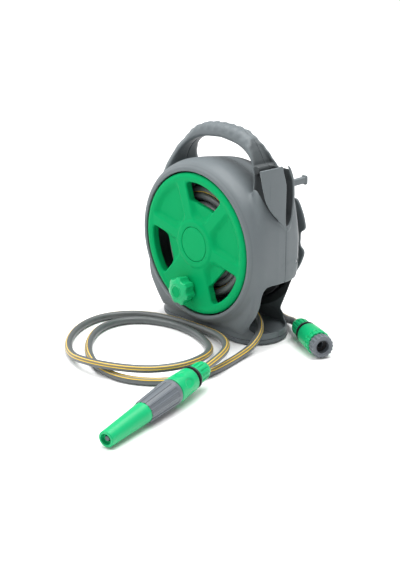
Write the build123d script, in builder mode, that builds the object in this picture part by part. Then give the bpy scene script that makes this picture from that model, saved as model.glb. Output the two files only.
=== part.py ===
from build123d import *
import math
import os

# Portable garden hose reel: a two-shell housing with a carrying handle and a nozzle holster, a winding
# disc on a hollow axle, ten metres of hose, a leader hose parked round the back, a spray nozzle and a
# tap connector. Millimetres, +Z up, the winding disc faces -Y.
# Origin: on the floor, on the seam plane between the two housing shells, under the reel axis.

os.makedirs("parts", exist_ok=True)

# ------------------------------------------------------------------ driving dimensions
AXIS_Z = 135.0            # height of the reel axis above the floor
FRONT_Y = -60.0           # front face of the housing rim and of the winding disc
REAR_Y = 60.0             # back face of the rear shell
WALL = 2.8                # shell wall

DISC_R = 104.0            # winding disc
DISC_GAP = 1.6            # running gap round the winding disc
RIM_WIDTH = 6.4           # flat rim round the disc
DRUM_MID_R = 121.0        # drum at its fullest, just behind the rim
DRUM_SEAM_R = 117.0       # drum at the seam

BODY_HALF_W = 124.5       # half width over the side columns
COLUMN_FRONT_Y = -43.0
COLUMN_REAR_Y = 44.0
HANDLE_TOP = 167.0        # top of the handle above the axis
HANDLE_BAR = 20.0         # height of the bar
HANDLE_DEPTH = 28.0       # front to back of the bar

FOOT_HALF_X = 107.0
FOOT_HALF_Y = 47.0
PLATE_H = 8.0             # base plate
FOOT_H = 17.0             # top of the ledge round the foot
FOOT_STEP = 3.0           # ledge step between plate and foot

HOSE_D = 11.0
HOSE_BORE = 8.0
CORE_R = 46.5             # outside of the drum core
PACK_IN_R = 49.0
PACK_OUT_R = 84.0
PACK_FRONT_Y = -46.0
PACK_REAR_Y = 29.0
FLANGE_R = 100.0
FLANGE_T = 3.0

AXLE_R = 9.0
AXLE_BORE_R = 5.0
RUN_GAP = 0.06            # radial gap of a running fit
FIT_GAP = 0.3             # gap between pieces that only stand side by side

KNOB_ANGLE = 258.0        # where the knob sits on the disc, from +X
KNOB_RADIUS = 73.0
KNOB_R = 20.0
KNOB_DEPTH = 21.0
PIN_R = 4.0

SECTOR_ANGLES = [78.0, 198.0, 318.0, 18.0, 138.0]
WINDOW_ANGLES = SECTOR_ANGLES[:3]
SPOKE_W = 15.0
SECTOR_IN_R = 37.0
SECTOR_OUT_R = 91.0
WINDOW_IN_X = 60.0
DISC_T = 11.0             # front face to back edge of the disc
DISC_SKIN = 3.0
RECESS = 6.0

BOSS_R = 62.0             # drum on the back that the leader hose is wound round
GUARD_R = 91.5            # lobed guard that keeps the leader hose on that drum
GUARD_ROOT_R = 80.0
GUARD_LOBES = 7
GUARD_LOBE_W = 50.0
GUARD_T = 4.0
COIL_GAP = 1.2            # room each side of the wound leader hose

# ------------------------------------------------------------------ planes
FACE = Plane(origin=(0, FRONT_Y, AXIS_Z), x_dir=(1, 0, 0), z_dir=(0, -1, 0))
REEL_AXIS = Axis((0, 0, AXIS_Z), (0, 1, 0))


def reel_plane(y):
    """Plane across the reel axis at y, seen from the front: x to the right, y up, normal to -Y."""
    return Plane(origin=(0, y, AXIS_Z), x_dir=(1, 0, 0), z_dir=(0, -1, 0))


def half_plane(base):
    """Plane through the axis of base: x runs out along the radius, y along the axis."""
    return Plane(origin=base.origin, x_dir=base.x_dir, z_dir=base.x_dir.cross(base.z_dir))


# Base for bodies turned about the reel axis: heights run to +Y.
TURN_BASE = Plane(origin=(0, 0, AXIS_Z), x_dir=(1, 0, 0), z_dir=(0, 1, 0))
TURN = half_plane(TURN_BASE)


def turned(base, points):
    """Body of revolution about the normal of base, from (radius, height) points."""
    with BuildPart() as body:
        with BuildSketch(half_plane(base)):
            with BuildLine():
                Polyline(*points, close=True)
            make_face()
        revolve(axis=Axis(base.origin, base.z_dir))
    return body


def ring(base, inner, outer, low, high):
    """Plain ring about the normal of base, from height low to height high."""
    return turned(base, [(inner, low), (outer, low), (outer, high), (inner, high)])


def save(body, label):
    body.part.label = label
    export_step(body.part, f"parts/{label}.step")


# ------------------------------------------------------------------ housing form
def front_outline(inset):
    """Front view of columns and handle: outer edge, right half from the foot to the top."""
    return [
        (84 - inset, 20),
        (98 - inset, 34),
        (112 - inset, 56),
        (120 - inset, 78),
        (BODY_HALF_W - inset, AXIS_Z - 30),
        (BODY_HALF_W - inset, AXIS_Z + 32),
        (121 - inset, AXIS_Z + 74),
        (108 - inset, AXIS_Z + 108),
        (86 - inset, AXIS_Z + 138 - inset / 2),
        (52 - inset / 2, AXIS_Z + 159 - inset),
        (0, AXIS_Z + HANDLE_TOP - inset),
    ]


def columns(inset):
    """Side columns and handle arch, shrunk all round by inset."""
    right = front_outline(inset)
    left = [(-x, z) for x, z in reversed(right[:-1])]
    with BuildPart() as form:
        with BuildSketch(Plane.XZ):
            with BuildLine():
                Spline(*right[4:], *left[:-4], tangents=[(0, 1), (0, -1)])
                Polyline(left[-5], *left[-4:], *right[:5])
            make_face()
            hand = AXIS_Z + HANDLE_TOP - HANDLE_BAR + inset
            with BuildLine():
                Spline(
                    (90 + inset, AXIS_Z + 70),
                    (82 + inset, AXIS_Z + 104),
                    (60 + inset, AXIS_Z + 134 + inset / 2),
                    (0, hand),
                    (-60 - inset, AXIS_Z + 134 + inset / 2),
                    (-82 - inset, AXIS_Z + 104),
                    (-90 - inset, AXIS_Z + 70),
                )
                Line((-90 - inset, AXIS_Z + 70), (90 + inset, AXIS_Z + 70))
            make_face(mode=Mode.SUBTRACT)
        extrude(amount=80, both=True)
        half_bar = HANDLE_DEPTH / 2 - inset
        front = -COLUMN_FRONT_Y - inset
        rear = COLUMN_REAR_Y - inset
        top = AXIS_Z + HANDLE_TOP + 5
        with BuildSketch(Plane.YZ):
            with BuildLine():
                Polyline((-half_bar, top), (-half_bar, top - 16), (-half_bar - 4, top - 26))
                Spline((-half_bar - 4, top - 26), (-front + 2, AXIS_Z + 118), (-front, AXIS_Z + 90))
                Polyline((-front, AXIS_Z + 90), (-front, 10), (rear, 10), (rear, AXIS_Z + 84))
                Spline((rear, AXIS_Z + 84), (rear - 4, AXIS_Z + 116), (half_bar + 4, top - 26))
                Polyline((half_bar + 4, top - 26), (half_bar, top - 16), (half_bar, top), (-half_bar, top))
            make_face()
        extrude(amount=140, both=True, mode=Mode.INTERSECT)
        side = BODY_HALF_W - inset
        with BuildSketch(Plane.XY):
            with BuildLine():
                right_side = [(0, -60), (side - 9, -60), (side - 6, -43 + inset), (side, -14), (side, 6)]
                right_side += [(side - 5, 28), (side - 18, 46), (0, 60)]
                Polyline(*right_side, *[(-x, y) for x, y in reversed(right_side[1:-1])], close=True)
            make_face()
        extrude(amount=320, mode=Mode.INTERSECT)
    return form


def drum(inset, front, rear):
    """Drum of the housing, shrunk by inset, between the planes y = front and y = rear."""
    with BuildPart() as form:
        with BuildSketch(TURN):
            with BuildLine():
                Line((0, front), (DISC_R + DISC_GAP + RIM_WIDTH - inset, front))
                Spline(
                    (DISC_R + DISC_GAP + RIM_WIDTH - inset, front),
                    (DRUM_MID_R - 2.5 - inset, -50),
                    (DRUM_MID_R - inset, -38),
                    (DRUM_SEAM_R - inset, 0),
                    (DRUM_SEAM_R - 6 - inset, 32),
                    (DRUM_SEAM_R - 18 - inset, 51),
                    (90 - inset, rear),
                )
                Polyline((90 - inset, rear), (0, rear), (0, front))
            make_face()
        revolve(axis=REEL_AXIS)
    return form


def oval(half_x, half_y):
    """Rounded oblong of the foot."""
    return SlotOverall(2 * half_x, 2 * half_y)


# The holster stands on the right column.
HOLSTER_TOP = AXIS_Z + 128.0
HOLSTER_TIP = AXIS_Z + 28.0
HOLSTER_X = 123.5
HOLSTER_FRONT_Y = -48.0
HOLSTER_REAR_Y = 36.0
HOLSTER_WALL = 2.6
HOLSTER_IN_X = 91.0


def holster_outline(inset):
    """V-shaped side view of the holster."""
    return [
        (HOLSTER_FRONT_Y + inset, HOLSTER_TOP),
        (HOLSTER_REAR_Y - inset, HOLSTER_TOP),
        (HOLSTER_REAR_Y - 6 - inset, AXIS_Z + 96),
        (8, HOLSTER_TIP + inset),
        (-6, HOLSTER_TIP + inset),
        (HOLSTER_FRONT_Y + 8 + inset, AXIS_Z + 92),
    ]


# Outside of both shells together, and the room inside them.
with BuildPart() as outside:
    add(drum(0, FRONT_Y, REAR_Y).part)
    add(columns(0).part)
    with BuildSketch(Plane.YZ.offset(84)):
        with BuildLine():
            Polyline(*holster_outline(0), close=True)
        make_face()
    extrude(amount=HOLSTER_X - 84)
    with BuildSketch(Plane.XY.offset(PLATE_H)):
        oval(FOOT_HALF_X - 1, FOOT_HALF_Y - 1)
    with BuildSketch(Plane.XY.offset(FOOT_H)):
        oval(FOOT_HALF_X - FOOT_STEP, FOOT_HALF_Y - FOOT_STEP)
    loft()
    with BuildSketch(Plane.XY.offset(FOOT_H)):
        oval(FOOT_HALF_X - 12, FOOT_HALF_Y - 5)
    with BuildSketch(Plane.XY.offset(FOOT_H + 38)):
        oval(FOOT_HALF_X - 16, FOOT_HALF_Y - 7)
    loft()

with BuildPart() as inside:
    add(drum(WALL, FRONT_Y + WALL, REAR_Y - WALL).part)
    add(columns(WALL).part)
    with BuildSketch(Plane.XY.offset(PLATE_H - 1)):
        oval(FOOT_HALF_X - 1 - WALL, FOOT_HALF_Y - 1 - WALL)
    with BuildSketch(Plane.XY.offset(FOOT_H - WALL)):
        oval(FOOT_HALF_X - FOOT_STEP - WALL, FOOT_HALF_Y - FOOT_STEP - WALL)
    loft()
    with BuildSketch(Plane.XY.offset(FOOT_H)):
        oval(FOOT_HALF_X - 12 - WALL, FOOT_HALF_Y - 5 - WALL)
    with BuildSketch(Plane.XY.offset(FOOT_H + 38)):
        oval(FOOT_HALF_X - 16 - WALL, FOOT_HALF_Y - 7 - WALL)
    loft()


# ------------------------------------------------------------------ cuts and fixings shared by both shells
WINDOW_X = 52.0           # the side opening takes everything to the right of this
WINDOW_FRONT_Y = -40.0
WINDOW_REAR_Y = 42.0
WINDOW_TOP = AXIS_Z - 45.0
SCREW_R = 1.5
PILOT_R = SCREW_R + 0.05
POST_R = 4.0
HEAD_R = 3.1
HOUSING_SCREWS = [(83, AXIS_Z + 118), (-83, AXIS_Z + 118), (-117, AXIS_Z - 5), (117, AXIS_Z - 15), (-62, 27)]
SCREW_SEAT_Y = 24.0
SCREW_TIP_Y = -14.0

with BuildPart() as window_cut:
    with BuildSketch(Plane.YZ.offset(WINDOW_X)):
        with BuildLine():
            Polyline(
                (WINDOW_FRONT_Y, FOOT_H + 16),
                (WINDOW_FRONT_Y + 15, FOOT_H),
                (WINDOW_REAR_Y, FOOT_H),
                (WINDOW_REAR_Y, WINDOW_TOP),
                (WINDOW_FRONT_Y + 10, WINDOW_TOP),
                (WINDOW_FRONT_Y, WINDOW_TOP - 14),
                close=True,
            )
        make_face()
    extrude(amount=90)

with BuildPart() as holster_cut:
    # the well that takes the nozzle barrel: open at the top, its inner wall slopes out over the drum
    with BuildSketch(Plane.XZ.offset(-HOLSTER_FRONT_Y)):
        with BuildLine():
            Polyline(
                (HOLSTER_IN_X - 6, AXIS_Z + 152),
                (HOLSTER_IN_X - 2, AXIS_Z + 120),
                (HOLSTER_IN_X, AXIS_Z + 88),
                (HOLSTER_X - 11, HOLSTER_TIP + 24),
                (HOLSTER_X - 6, HOLSTER_TIP + 8),
                (HOLSTER_X - HOLSTER_WALL, HOLSTER_TIP + 8),
                (HOLSTER_X - HOLSTER_WALL, HOLSTER_TOP),
                (HOLSTER_X + 10, HOLSTER_TOP),
                (HOLSTER_X + 10, AXIS_Z + 152),
                close=True,
            )
        make_face()
    extrude(amount=-(HOLSTER_REAR_Y - HOLSTER_FRONT_Y))
    with BuildSketch(Plane.YZ.offset(HOLSTER_IN_X - 10)):
        with BuildLine():
            v_shape = holster_outline(HOLSTER_WALL)
            Polyline(
                (v_shape[0][0] + 4, HOLSTER_TOP + 26),
                (v_shape[1][0] - 4, HOLSTER_TOP + 26),
                *v_shape[1:],
                v_shape[0],
                close=True,
            )
        make_face()
    extrude(amount=60, mode=Mode.INTERSECT)

with BuildPart() as holster_slot:
    with BuildSketch(Plane.YZ.offset(HOLSTER_X - HOLSTER_WALL - 2)):
        with BuildLine():
            Polyline((-10, HOLSTER_TOP + 1), (5, HOLSTER_TOP + 1), (4, AXIS_Z + 80), (0, HOLSTER_TIP + 10),
                     (-3, AXIS_Z + 70), close=True)
        make_face()
    extrude(amount=20)

with BuildPart() as posts:
    with BuildSketch(Plane.XZ.offset(-WINDOW_REAR_Y)):
        with Locations(*HOUSING_SCREWS):
            Circle(POST_R)
    extrude(amount=WINDOW_REAR_Y - COLUMN_FRONT_Y)
    add(outside.part, mode=Mode.INTERSECT)


# Both shells in one piece, before they are parted along the seam.
with BuildPart() as both_shells:
    add(outside.part)
    add(inside.part, mode=Mode.SUBTRACT)
    with BuildSketch(Plane.YZ.offset(HOLSTER_IN_X - 8)):
        with BuildLine():
            Polyline(*holster_outline(0), close=True)
        make_face()
    extrude(amount=HOLSTER_X - HOLSTER_IN_X + 8)
    add(posts.part)
    add(drum(WALL, FRONT_Y + WALL, REAR_Y - WALL).part, mode=Mode.SUBTRACT)
    add(window_cut.part, mode=Mode.SUBTRACT)
    add(holster_cut.part, mode=Mode.SUBTRACT)
    add(holster_slot.part, mode=Mode.SUBTRACT)
    with BuildSketch(Plane.XZ.offset(-80)):
        with Locations(*HOUSING_SCREWS):
            Circle(PILOT_R)
    extrude(amount=80 - SCREW_TIP_Y, mode=Mode.SUBTRACT)
    with BuildSketch(Plane.XZ.offset(-80)):
        with Locations(*HOUSING_SCREWS):
            Circle(HEAD_R + FIT_GAP)
    extrude(amount=80 - SCREW_SEAT_Y, mode=Mode.SUBTRACT)

# ------------------------------------------------------------------ front shell
OPENING_R = DISC_R + DISC_GAP
LIP_T = 2.4
with BuildPart() as front_housing:
    add(both_shells.part)
    with BuildSketch(reel_plane(FRONT_Y + 20)):
        Circle(OPENING_R)
    extrude(amount=30, mode=Mode.SUBTRACT)
    add(ring(TURN_BASE, OPENING_R, OPENING_R + LIP_T, FRONT_Y, FRONT_Y + DISC_T + 2).part)
    split(bisect_by=Plane.XZ, keep=Keep.TOP)
save(front_housing, "front_housing")

# ------------------------------------------------------------------ rear shell
COIL_DEPTH = HOSE_D + 2 * COIL_GAP
BOSS_Y = REAR_Y + COIL_DEPTH
BOSS_WALL = 2.8
BEARING_R = 15.0
BEARING_IN_Y = 44.0
BUSH_R = AXLE_R + 2.5
GUARD_SCREW_R = 49.0
GUARD_SCREW_ANGLES = [12.0, 85.0, 165.0, 215.0]
RIB_COUNT = 14
RIB_IN_R = 40.0
RIB_OUT_R = 86.0
RIB_T = 1.6
RIB_H = 7.0
PEG_AT = (102.0, AXIS_Z + 95)


def around(radius, angle):
    """Point (x, height above the axis) on a circle about the reel axis."""
    a = math.radians(angle)
    return (radius * math.cos(a), radius * math.sin(a))


with BuildPart() as rear_housing:
    add(both_shells.part)
    split(bisect_by=Plane.XZ, keep=Keep.BOTTOM)
    # ribs across the inside of the back wall
    with BuildSketch(reel_plane(REAR_Y - WALL)):
        with PolarLocations((RIB_IN_R + RIB_OUT_R) / 2, RIB_COUNT, start_angle=9):
            Rectangle(RIB_OUT_R - RIB_IN_R, RIB_T)
    extrude(amount=RIB_H)
    # hose drum on the back, its notch, and the bearing in the middle
    add(ring(TURN_BASE, BOSS_R - BOSS_WALL, BOSS_R, REAR_Y - 0.5, BOSS_Y).part)
    with BuildSketch(reel_plane(REAR_Y + 0.01)):
        with BuildLine():
            Polyline((8, -50), (9, -75), (70, -60), (85, -6), (54, -6), (40, -38), close=True)
        make_face()
    extrude(amount=-COIL_DEPTH, mode=Mode.SUBTRACT)
    add(ring(TURN_BASE, BUSH_R, BEARING_R, BEARING_IN_Y, REAR_Y + 1).part)
    with BuildSketch(reel_plane(REAR_Y - 0.5)):
        with Locations(*[around(GUARD_SCREW_R, a) for a in GUARD_SCREW_ANGLES]):
            Circle(POST_R)
    extrude(amount=-(BOSS_Y - REAR_Y + 0.5))
    with BuildSketch(reel_plane(REAR_Y + 1)):
        with Locations(*[around(GUARD_SCREW_R, a) for a in GUARD_SCREW_ANGLES]):
            Circle(PILOT_R)
    extrude(amount=-COIL_DEPTH, mode=Mode.SUBTRACT)
    with BuildSketch(reel_plane(REAR_Y + 10)):
        Circle(BUSH_R)
    extrude(amount=40, mode=Mode.SUBTRACT)
save(rear_housing, "rear_housing")

# ------------------------------------------------------------------ base plate and its feet
FEET_AT = [(-78, -18), (-78, 18), (0, 0), (78, -18), (78, 18)]
FOOT_PAD_R = 9.0
FOOT_PAD_H = 3.0
FOOT_PAD_PROUD = 1.5
BASE_SCREWS = [(-52, 0), (52, 0)]
PLATE_SKIN = 2.5

with BuildPart() as base_plate:
    with BuildSketch(Plane.XY.offset(FOOT_PAD_PROUD)):
        oval(FOOT_HALF_X, FOOT_HALF_Y)
    extrude(amount=PLATE_H - FOOT_PAD_PROUD)
    fillet(base_plate.edges().group_by(Axis.Z)[-1], 1.2)
    with BuildSketch(Plane.XY.offset(FOOT_PAD_PROUD + PLATE_SKIN)):
        oval(FOOT_HALF_X - 1 - WALL, FOOT_HALF_Y - 1 - WALL)
    extrude(amount=PLATE_H, mode=Mode.SUBTRACT)
    with BuildSketch(Plane.XY.offset(FOOT_PAD_PROUD)):
        with Locations(*FEET_AT):
            Circle(FOOT_PAD_R + 2)
        with Locations(*BASE_SCREWS):
            Circle(POST_R + 1)
    extrude(amount=PLATE_H - FOOT_PAD_PROUD)
    with BuildSketch(Plane.XY.offset(FOOT_PAD_PROUD)):
        with Locations(*FEET_AT):
            Circle(FOOT_PAD_R)
    extrude(amount=FOOT_PAD_H - FOOT_PAD_PROUD, mode=Mode.SUBTRACT)
    with BuildSketch(Plane.XY):
        with Locations(*BASE_SCREWS):
            Circle(PILOT_R)
    extrude(amount=PLATE_H + 1, mode=Mode.SUBTRACT)
    with BuildSketch(Plane.XY):
        with Locations(*BASE_SCREWS):
            Circle(HEAD_R + FIT_GAP)
    extrude(amount=FOOT_PAD_PROUD + 2.2, mode=Mode.SUBTRACT)
save(base_plate, "base_plate")

with BuildPart() as rubber_feet:
    with BuildSketch(Plane.XY):
        with Locations(*FEET_AT):
            Circle(FOOT_PAD_R - FIT_GAP)
    extrude(amount=FOOT_PAD_H)
save(rubber_feet, "rubber_feet")


def screws(places, seat_plane, length):
    """Pan-head screws on seat_plane: heads stand on its normal side, shanks run the other way."""
    with BuildPart() as group:
        with BuildSketch(seat_plane):
            with Locations(*places):
                Circle(HEAD_R)
        extrude(amount=2)
        with BuildSketch(seat_plane.offset(2)):
            with Locations(*places):
                Rectangle(3.6, 0.8)
                Rectangle(0.8, 3.6)
        extrude(amount=-0.9, mode=Mode.SUBTRACT)
        with BuildSketch(seat_plane):
            with Locations(*places):
                Circle(SCREW_R)
        extrude(amount=-length)
    return group


rear_seat = Plane(origin=(0, SCREW_SEAT_Y, 0), x_dir=(-1, 0, 0), z_dir=(0, 1, 0))
housing_screws = screws([(-x, z) for x, z in HOUSING_SCREWS], rear_seat, SCREW_SEAT_Y - SCREW_TIP_Y - 1)
save(housing_screws, "housing_screws")
base_seat = Plane(origin=(0, 0, FOOT_PAD_PROUD + 2.2), x_dir=(1, 0, 0), z_dir=(0, 0, -1))
base_screws = screws([(x, -y) for x, y in BASE_SCREWS], base_seat, 9)
save(base_screws, "base_screws")

# ------------------------------------------------------------------ winding disc
CORE_FRONT_Y = FRONT_Y + RECESS + DISC_SKIN + 0.5   # front end of the drum core, behind the recesses
HUB_CAP_R = 25.0
HUB_RING_R = 34.0


def face_plane(height, angle):
    """Plane at a height in front of the disc face, with x pointing along angle."""
    a = math.radians(angle)
    return Plane(origin=(0, FRONT_Y - height, AXIS_Z), x_dir=(math.cos(a), 0, math.sin(a)), z_dir=(0, -1, 0))


def sector(inset, inner_r):
    """One sector of the disc between two spokes, centred on +X, as a sketch on the disc face."""
    with BuildSketch() as shape:
        Circle(SECTOR_OUT_R - inset)
        Circle(inner_r + inset, mode=Mode.SUBTRACT)
        reach = 2 * SECTOR_OUT_R
        clear = SPOKE_W / 2 + inset
        tip = clear / math.sin(math.radians(30))
        side = math.tan(math.radians(30)) * (reach - tip)
        with BuildLine():
            Polyline((tip, 0), (reach, side), (reach, -side), close=True)
        make_face(mode=Mode.INTERSECT)
        fillet(shape.vertices(), 4.0)
    return shape.sketch


with BuildPart() as disc_form:
    with BuildSketch(half_plane(FACE)):
        with BuildLine():
            back = -DISC_T - DISC_SKIN
            Polyline((DISC_R, back), (0, back), (0, 2.0), (HUB_RING_R - 1.5, 2.0), (HUB_RING_R, 0.5),
                     (SECTOR_OUT_R + 1.0, 0.5), (SECTOR_OUT_R + 3.5, 0.0))
            TangentArc((SECTOR_OUT_R + 3.5, 0.0), (DISC_R, -5.0), tangent=(1, 0.35))
            Line((DISC_R, -5.0), (DISC_R, back))
        make_face()
    revolve(axis=REEL_AXIS)
    for angle in SECTOR_ANGLES:
        with BuildSketch(face_plane(2.5, angle)):
            add(sector(0, SECTOR_IN_R))
        with BuildSketch(face_plane(-RECESS, angle)):
            add(sector(3.2, SECTOR_IN_R))
        loft(mode=Mode.SUBTRACT)

with BuildPart() as winding_disc:
    add(disc_form.part)
    # hollow back: the same form set back by the skin, inside the rim
    with BuildPart(mode=Mode.PRIVATE) as hollow:
        add(disc_form.part.moved(Location((0, DISC_SKIN, 0))))
        with BuildSketch(reel_plane(FRONT_Y + 2 * DISC_T)):
            Circle(DISC_R - DISC_SKIN)
        extrude(amount=3 * DISC_T, mode=Mode.INTERSECT)
    add(hollow.part, mode=Mode.SUBTRACT)
    add(ring(TURN_BASE, 0, DISC_R + 5, FRONT_Y + DISC_T, FRONT_Y + 3 * DISC_T).part, mode=Mode.SUBTRACT)
    # windows right through the outer half of three sectors
    for angle in WINDOW_ANGLES:
        with BuildSketch(face_plane(5, angle)):
            add(sector(3.6, SECTOR_IN_R))
            with Locations((WINDOW_IN_X + 50, 0)):
                Rectangle(100, 200, mode=Mode.INTERSECT)
        extrude(amount=-30, mode=Mode.SUBTRACT)
    # solid hub, socket for the drum core, axle boss and knob boss
    add(ring(TURN_BASE, 0, HUB_CAP_R + 4, FRONT_Y + 1, FRONT_Y + DISC_SKIN + 2).part)
    add(ring(TURN_BASE, CORE_R - 3, CORE_R - FIT_GAP, FRONT_Y + DISC_SKIN + 1, CORE_FRONT_Y + 6).part)
    add(ring(TURN_BASE, AXLE_R, AXLE_R + 4, FRONT_Y + 1, FRONT_Y + DISC_T).part)
    with BuildSketch(reel_plane(FRONT_Y + 1)):
        with Locations(around(KNOB_RADIUS, KNOB_ANGLE)):
            Circle(PIN_R + 4)
    extrude(amount=-(DISC_T - 1))
    with BuildSketch(reel_plane(FRONT_Y - 5)):
        with Locations(around(KNOB_RADIUS, KNOB_ANGLE)):
            Circle(PIN_R)
        Circle(HUB_CAP_R + FIT_GAP)
    extrude(amount=-7, mode=Mode.SUBTRACT)
    with BuildSketch(reel_plane(FRONT_Y - 5)):
        with Locations(around(KNOB_RADIUS, KNOB_ANGLE)):
            Circle(PIN_R)
        Circle(AXLE_R)
    extrude(amount=-30, mode=Mode.SUBTRACT)
save(winding_disc, "winding_disc")

hub_cap = turned(TURN_BASE, [(0, FRONT_Y - 2.0), (HUB_CAP_R - 1.2, FRONT_Y - 2.0), (HUB_CAP_R, FRONT_Y - 1.2),
                             (HUB_CAP_R, FRONT_Y + 2.0), (0, FRONT_Y + 2.0)])
save(hub_cap, "hub_cap")

# ------------------------------------------------------------------ drum, axle and bearing
CORE_WALL = 2.5
FLANGE_Y = 33.0
AXLE_FRONT_Y = FRONT_Y + 2.0 + FIT_GAP
AXLE_REAR_Y = 68.0
CLIP_Y = REAR_Y + 2.0
CLIP_T = 1.6

with BuildPart() as drum_core:
    add(ring(TURN_BASE, CORE_R, CORE_R + CORE_WALL - FIT_GAP, CORE_FRONT_Y, FLANGE_Y).part)
    add(ring(TURN_BASE, AXLE_R, CORE_R + 0.5, -6, -3).part)
    add(ring(TURN_BASE, AXLE_R, AXLE_R + 3, -20, 12).part)
    with BuildSketch(reel_plane(FLANGE_Y - 6)):
        with PolarLocations(CORE_R - 6, 3, start_angle=30):
            Circle(POST_R + 1.5)
    extrude(amount=-6)
    add(ring(TURN_BASE, CORE_R - 12, CORE_R + 0.5, FLANGE_Y - 6, FLANGE_Y - 4).part)
    with BuildSketch(reel_plane(FLANGE_Y - 9)):
        with PolarLocations(CORE_R - 6, 3, start_angle=30):
            Circle(PILOT_R)
    extrude(amount=-12, mode=Mode.SUBTRACT)
save(drum_core, "drum_core")

with BuildPart() as rear_flange:
    add(turned(TURN_BASE, [(AXLE_R + 0.2, FLANGE_Y), (FLANGE_R, FLANGE_Y), (FLANGE_R + 1.5, FLANGE_Y + 1.5),
                           (FLANGE_R, FLANGE_Y + FLANGE_T), (AXLE_R + 0.2, FLANGE_Y + FLANGE_T)]).part)
    with BuildSketch(reel_plane(FLANGE_Y)):
        with PolarLocations(75, 6):
            Ellipse(17, 11)
        with PolarLocations(CORE_R - 6, 3, start_angle=30):
            Circle(PILOT_R)
    extrude(amount=-FLANGE_T, mode=Mode.SUBTRACT)
    with BuildSketch(reel_plane(FLANGE_Y + FLANGE_T)):
        with PolarLocations(74, 12, start_angle=15):
            Rectangle(44, 2)
    extrude(amount=-3)
save(rear_flange, "rear_flange")

flange_seat = Plane(origin=(0, FLANGE_Y + FLANGE_T, AXIS_Z), x_dir=(-1, 0, 0), z_dir=(0, 1, 0))
flange_screw_places = []
for k in range(3):
    x, z = around(CORE_R - 6, 30 + 120 * k)
    flange_screw_places.append((-x, z))
drum_screws = screws(flange_screw_places, flange_seat, 10)
save(drum_screws, "drum_screws")

axle = turned(TURN_BASE, [
    (0, AXLE_FRONT_Y), (AXLE_R, AXLE_FRONT_Y), (AXLE_R, CLIP_Y - 0.1), (AXLE_R - 1.5, CLIP_Y - 0.1),
    (AXLE_R - 1.5, CLIP_Y + CLIP_T + 0.1), (AXLE_R, CLIP_Y + CLIP_T + 0.1), (AXLE_R, AXLE_REAR_Y - 1),
    (AXLE_R - 1, AXLE_REAR_Y), (AXLE_BORE_R, AXLE_REAR_Y), (AXLE_BORE_R, -30), (0, -30)])
save(axle, "axle")

axle_bush = turned(TURN_BASE, [
    (AXLE_R + RUN_GAP, BEARING_IN_Y - 2), (BUSH_R + 2, BEARING_IN_Y - 2), (BUSH_R + 2, BEARING_IN_Y),
    (BUSH_R, BEARING_IN_Y), (BUSH_R, REAR_Y + 1), (AXLE_R + RUN_GAP, REAR_Y + 1)])
save(axle_bush, "axle_bush")

with BuildPart() as axle_clip:
    add(ring(TURN_BASE, AXLE_R - 1.5, AXLE_R + 2.5, CLIP_Y, CLIP_Y + CLIP_T).part)
    with BuildSketch(reel_plane(CLIP_Y - 1)):
        with Locations((0, 10)):
            Rectangle(9, 20)
    extrude(amount=-5, mode=Mode.SUBTRACT)
save(axle_clip, "axle_clip")

# ------------------------------------------------------------------ winding knob
KNOB_AT = around(KNOB_RADIUS, KNOB_ANGLE)
KNOB_BASE = Plane(origin=(KNOB_AT[0], FRONT_Y - 1.5, AXIS_Z + KNOB_AT[1]), x_dir=(1, 0, 0), z_dir=(0, -1, 0))
KNOB_LOBES = 7

with BuildPart() as winding_knob:
    with BuildSketch(KNOB_BASE):
        Circle(KNOB_R - 2)
        with PolarLocations(KNOB_R + 4.5, KNOB_LOBES):
            Circle(7.5, mode=Mode.SUBTRACT)
    with BuildSketch(KNOB_BASE.offset(KNOB_DEPTH - 4)):
        Circle(KNOB_R)
        with PolarLocations(KNOB_R + 6, KNOB_LOBES):
            Circle(8.5, mode=Mode.SUBTRACT)
    loft()
    with BuildSketch(KNOB_BASE.offset(KNOB_DEPTH - 4)):
        Circle(KNOB_R)
        with PolarLocations(KNOB_R + 6, KNOB_LOBES):
            Circle(8.5, mode=Mode.SUBTRACT)
    with BuildSketch(KNOB_BASE.offset(KNOB_DEPTH)):
        Circle(KNOB_R - 4)
        with PolarLocations(KNOB_R + 3, KNOB_LOBES):
            Circle(8.5, mode=Mode.SUBTRACT)
    loft()
    with BuildSketch(KNOB_BASE.offset(KNOB_DEPTH)):
        Circle(PIN_R + 4)
    extrude(amount=-3, mode=Mode.SUBTRACT)
    with BuildSketch(KNOB_BASE):
        Circle(PIN_R + RUN_GAP)
    extrude(amount=KNOB_DEPTH, mode=Mode.SUBTRACT)
save(winding_knob, "winding_knob")

knob_pin = turned(KNOB_BASE, [(0, -DISC_T + 1), (PIN_R, -DISC_T + 1), (PIN_R, KNOB_DEPTH - 2.8),
                              (PIN_R + 2.6, KNOB_DEPTH - 2.8), (PIN_R + 2.6, KNOB_DEPTH - 1.6),
                              (0, KNOB_DEPTH - 1.6)])
save(knob_pin, "knob_pin")

knob_cap = turned(KNOB_BASE, [(0, KNOB_DEPTH - 1.2), (PIN_R + 4, KNOB_DEPTH - 1.2), (PIN_R + 4, KNOB_DEPTH),
                              (PIN_R + 3.2, KNOB_DEPTH + 0.6), (0, KNOB_DEPTH + 0.6)])
save(knob_cap, "knob_cap")

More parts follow.
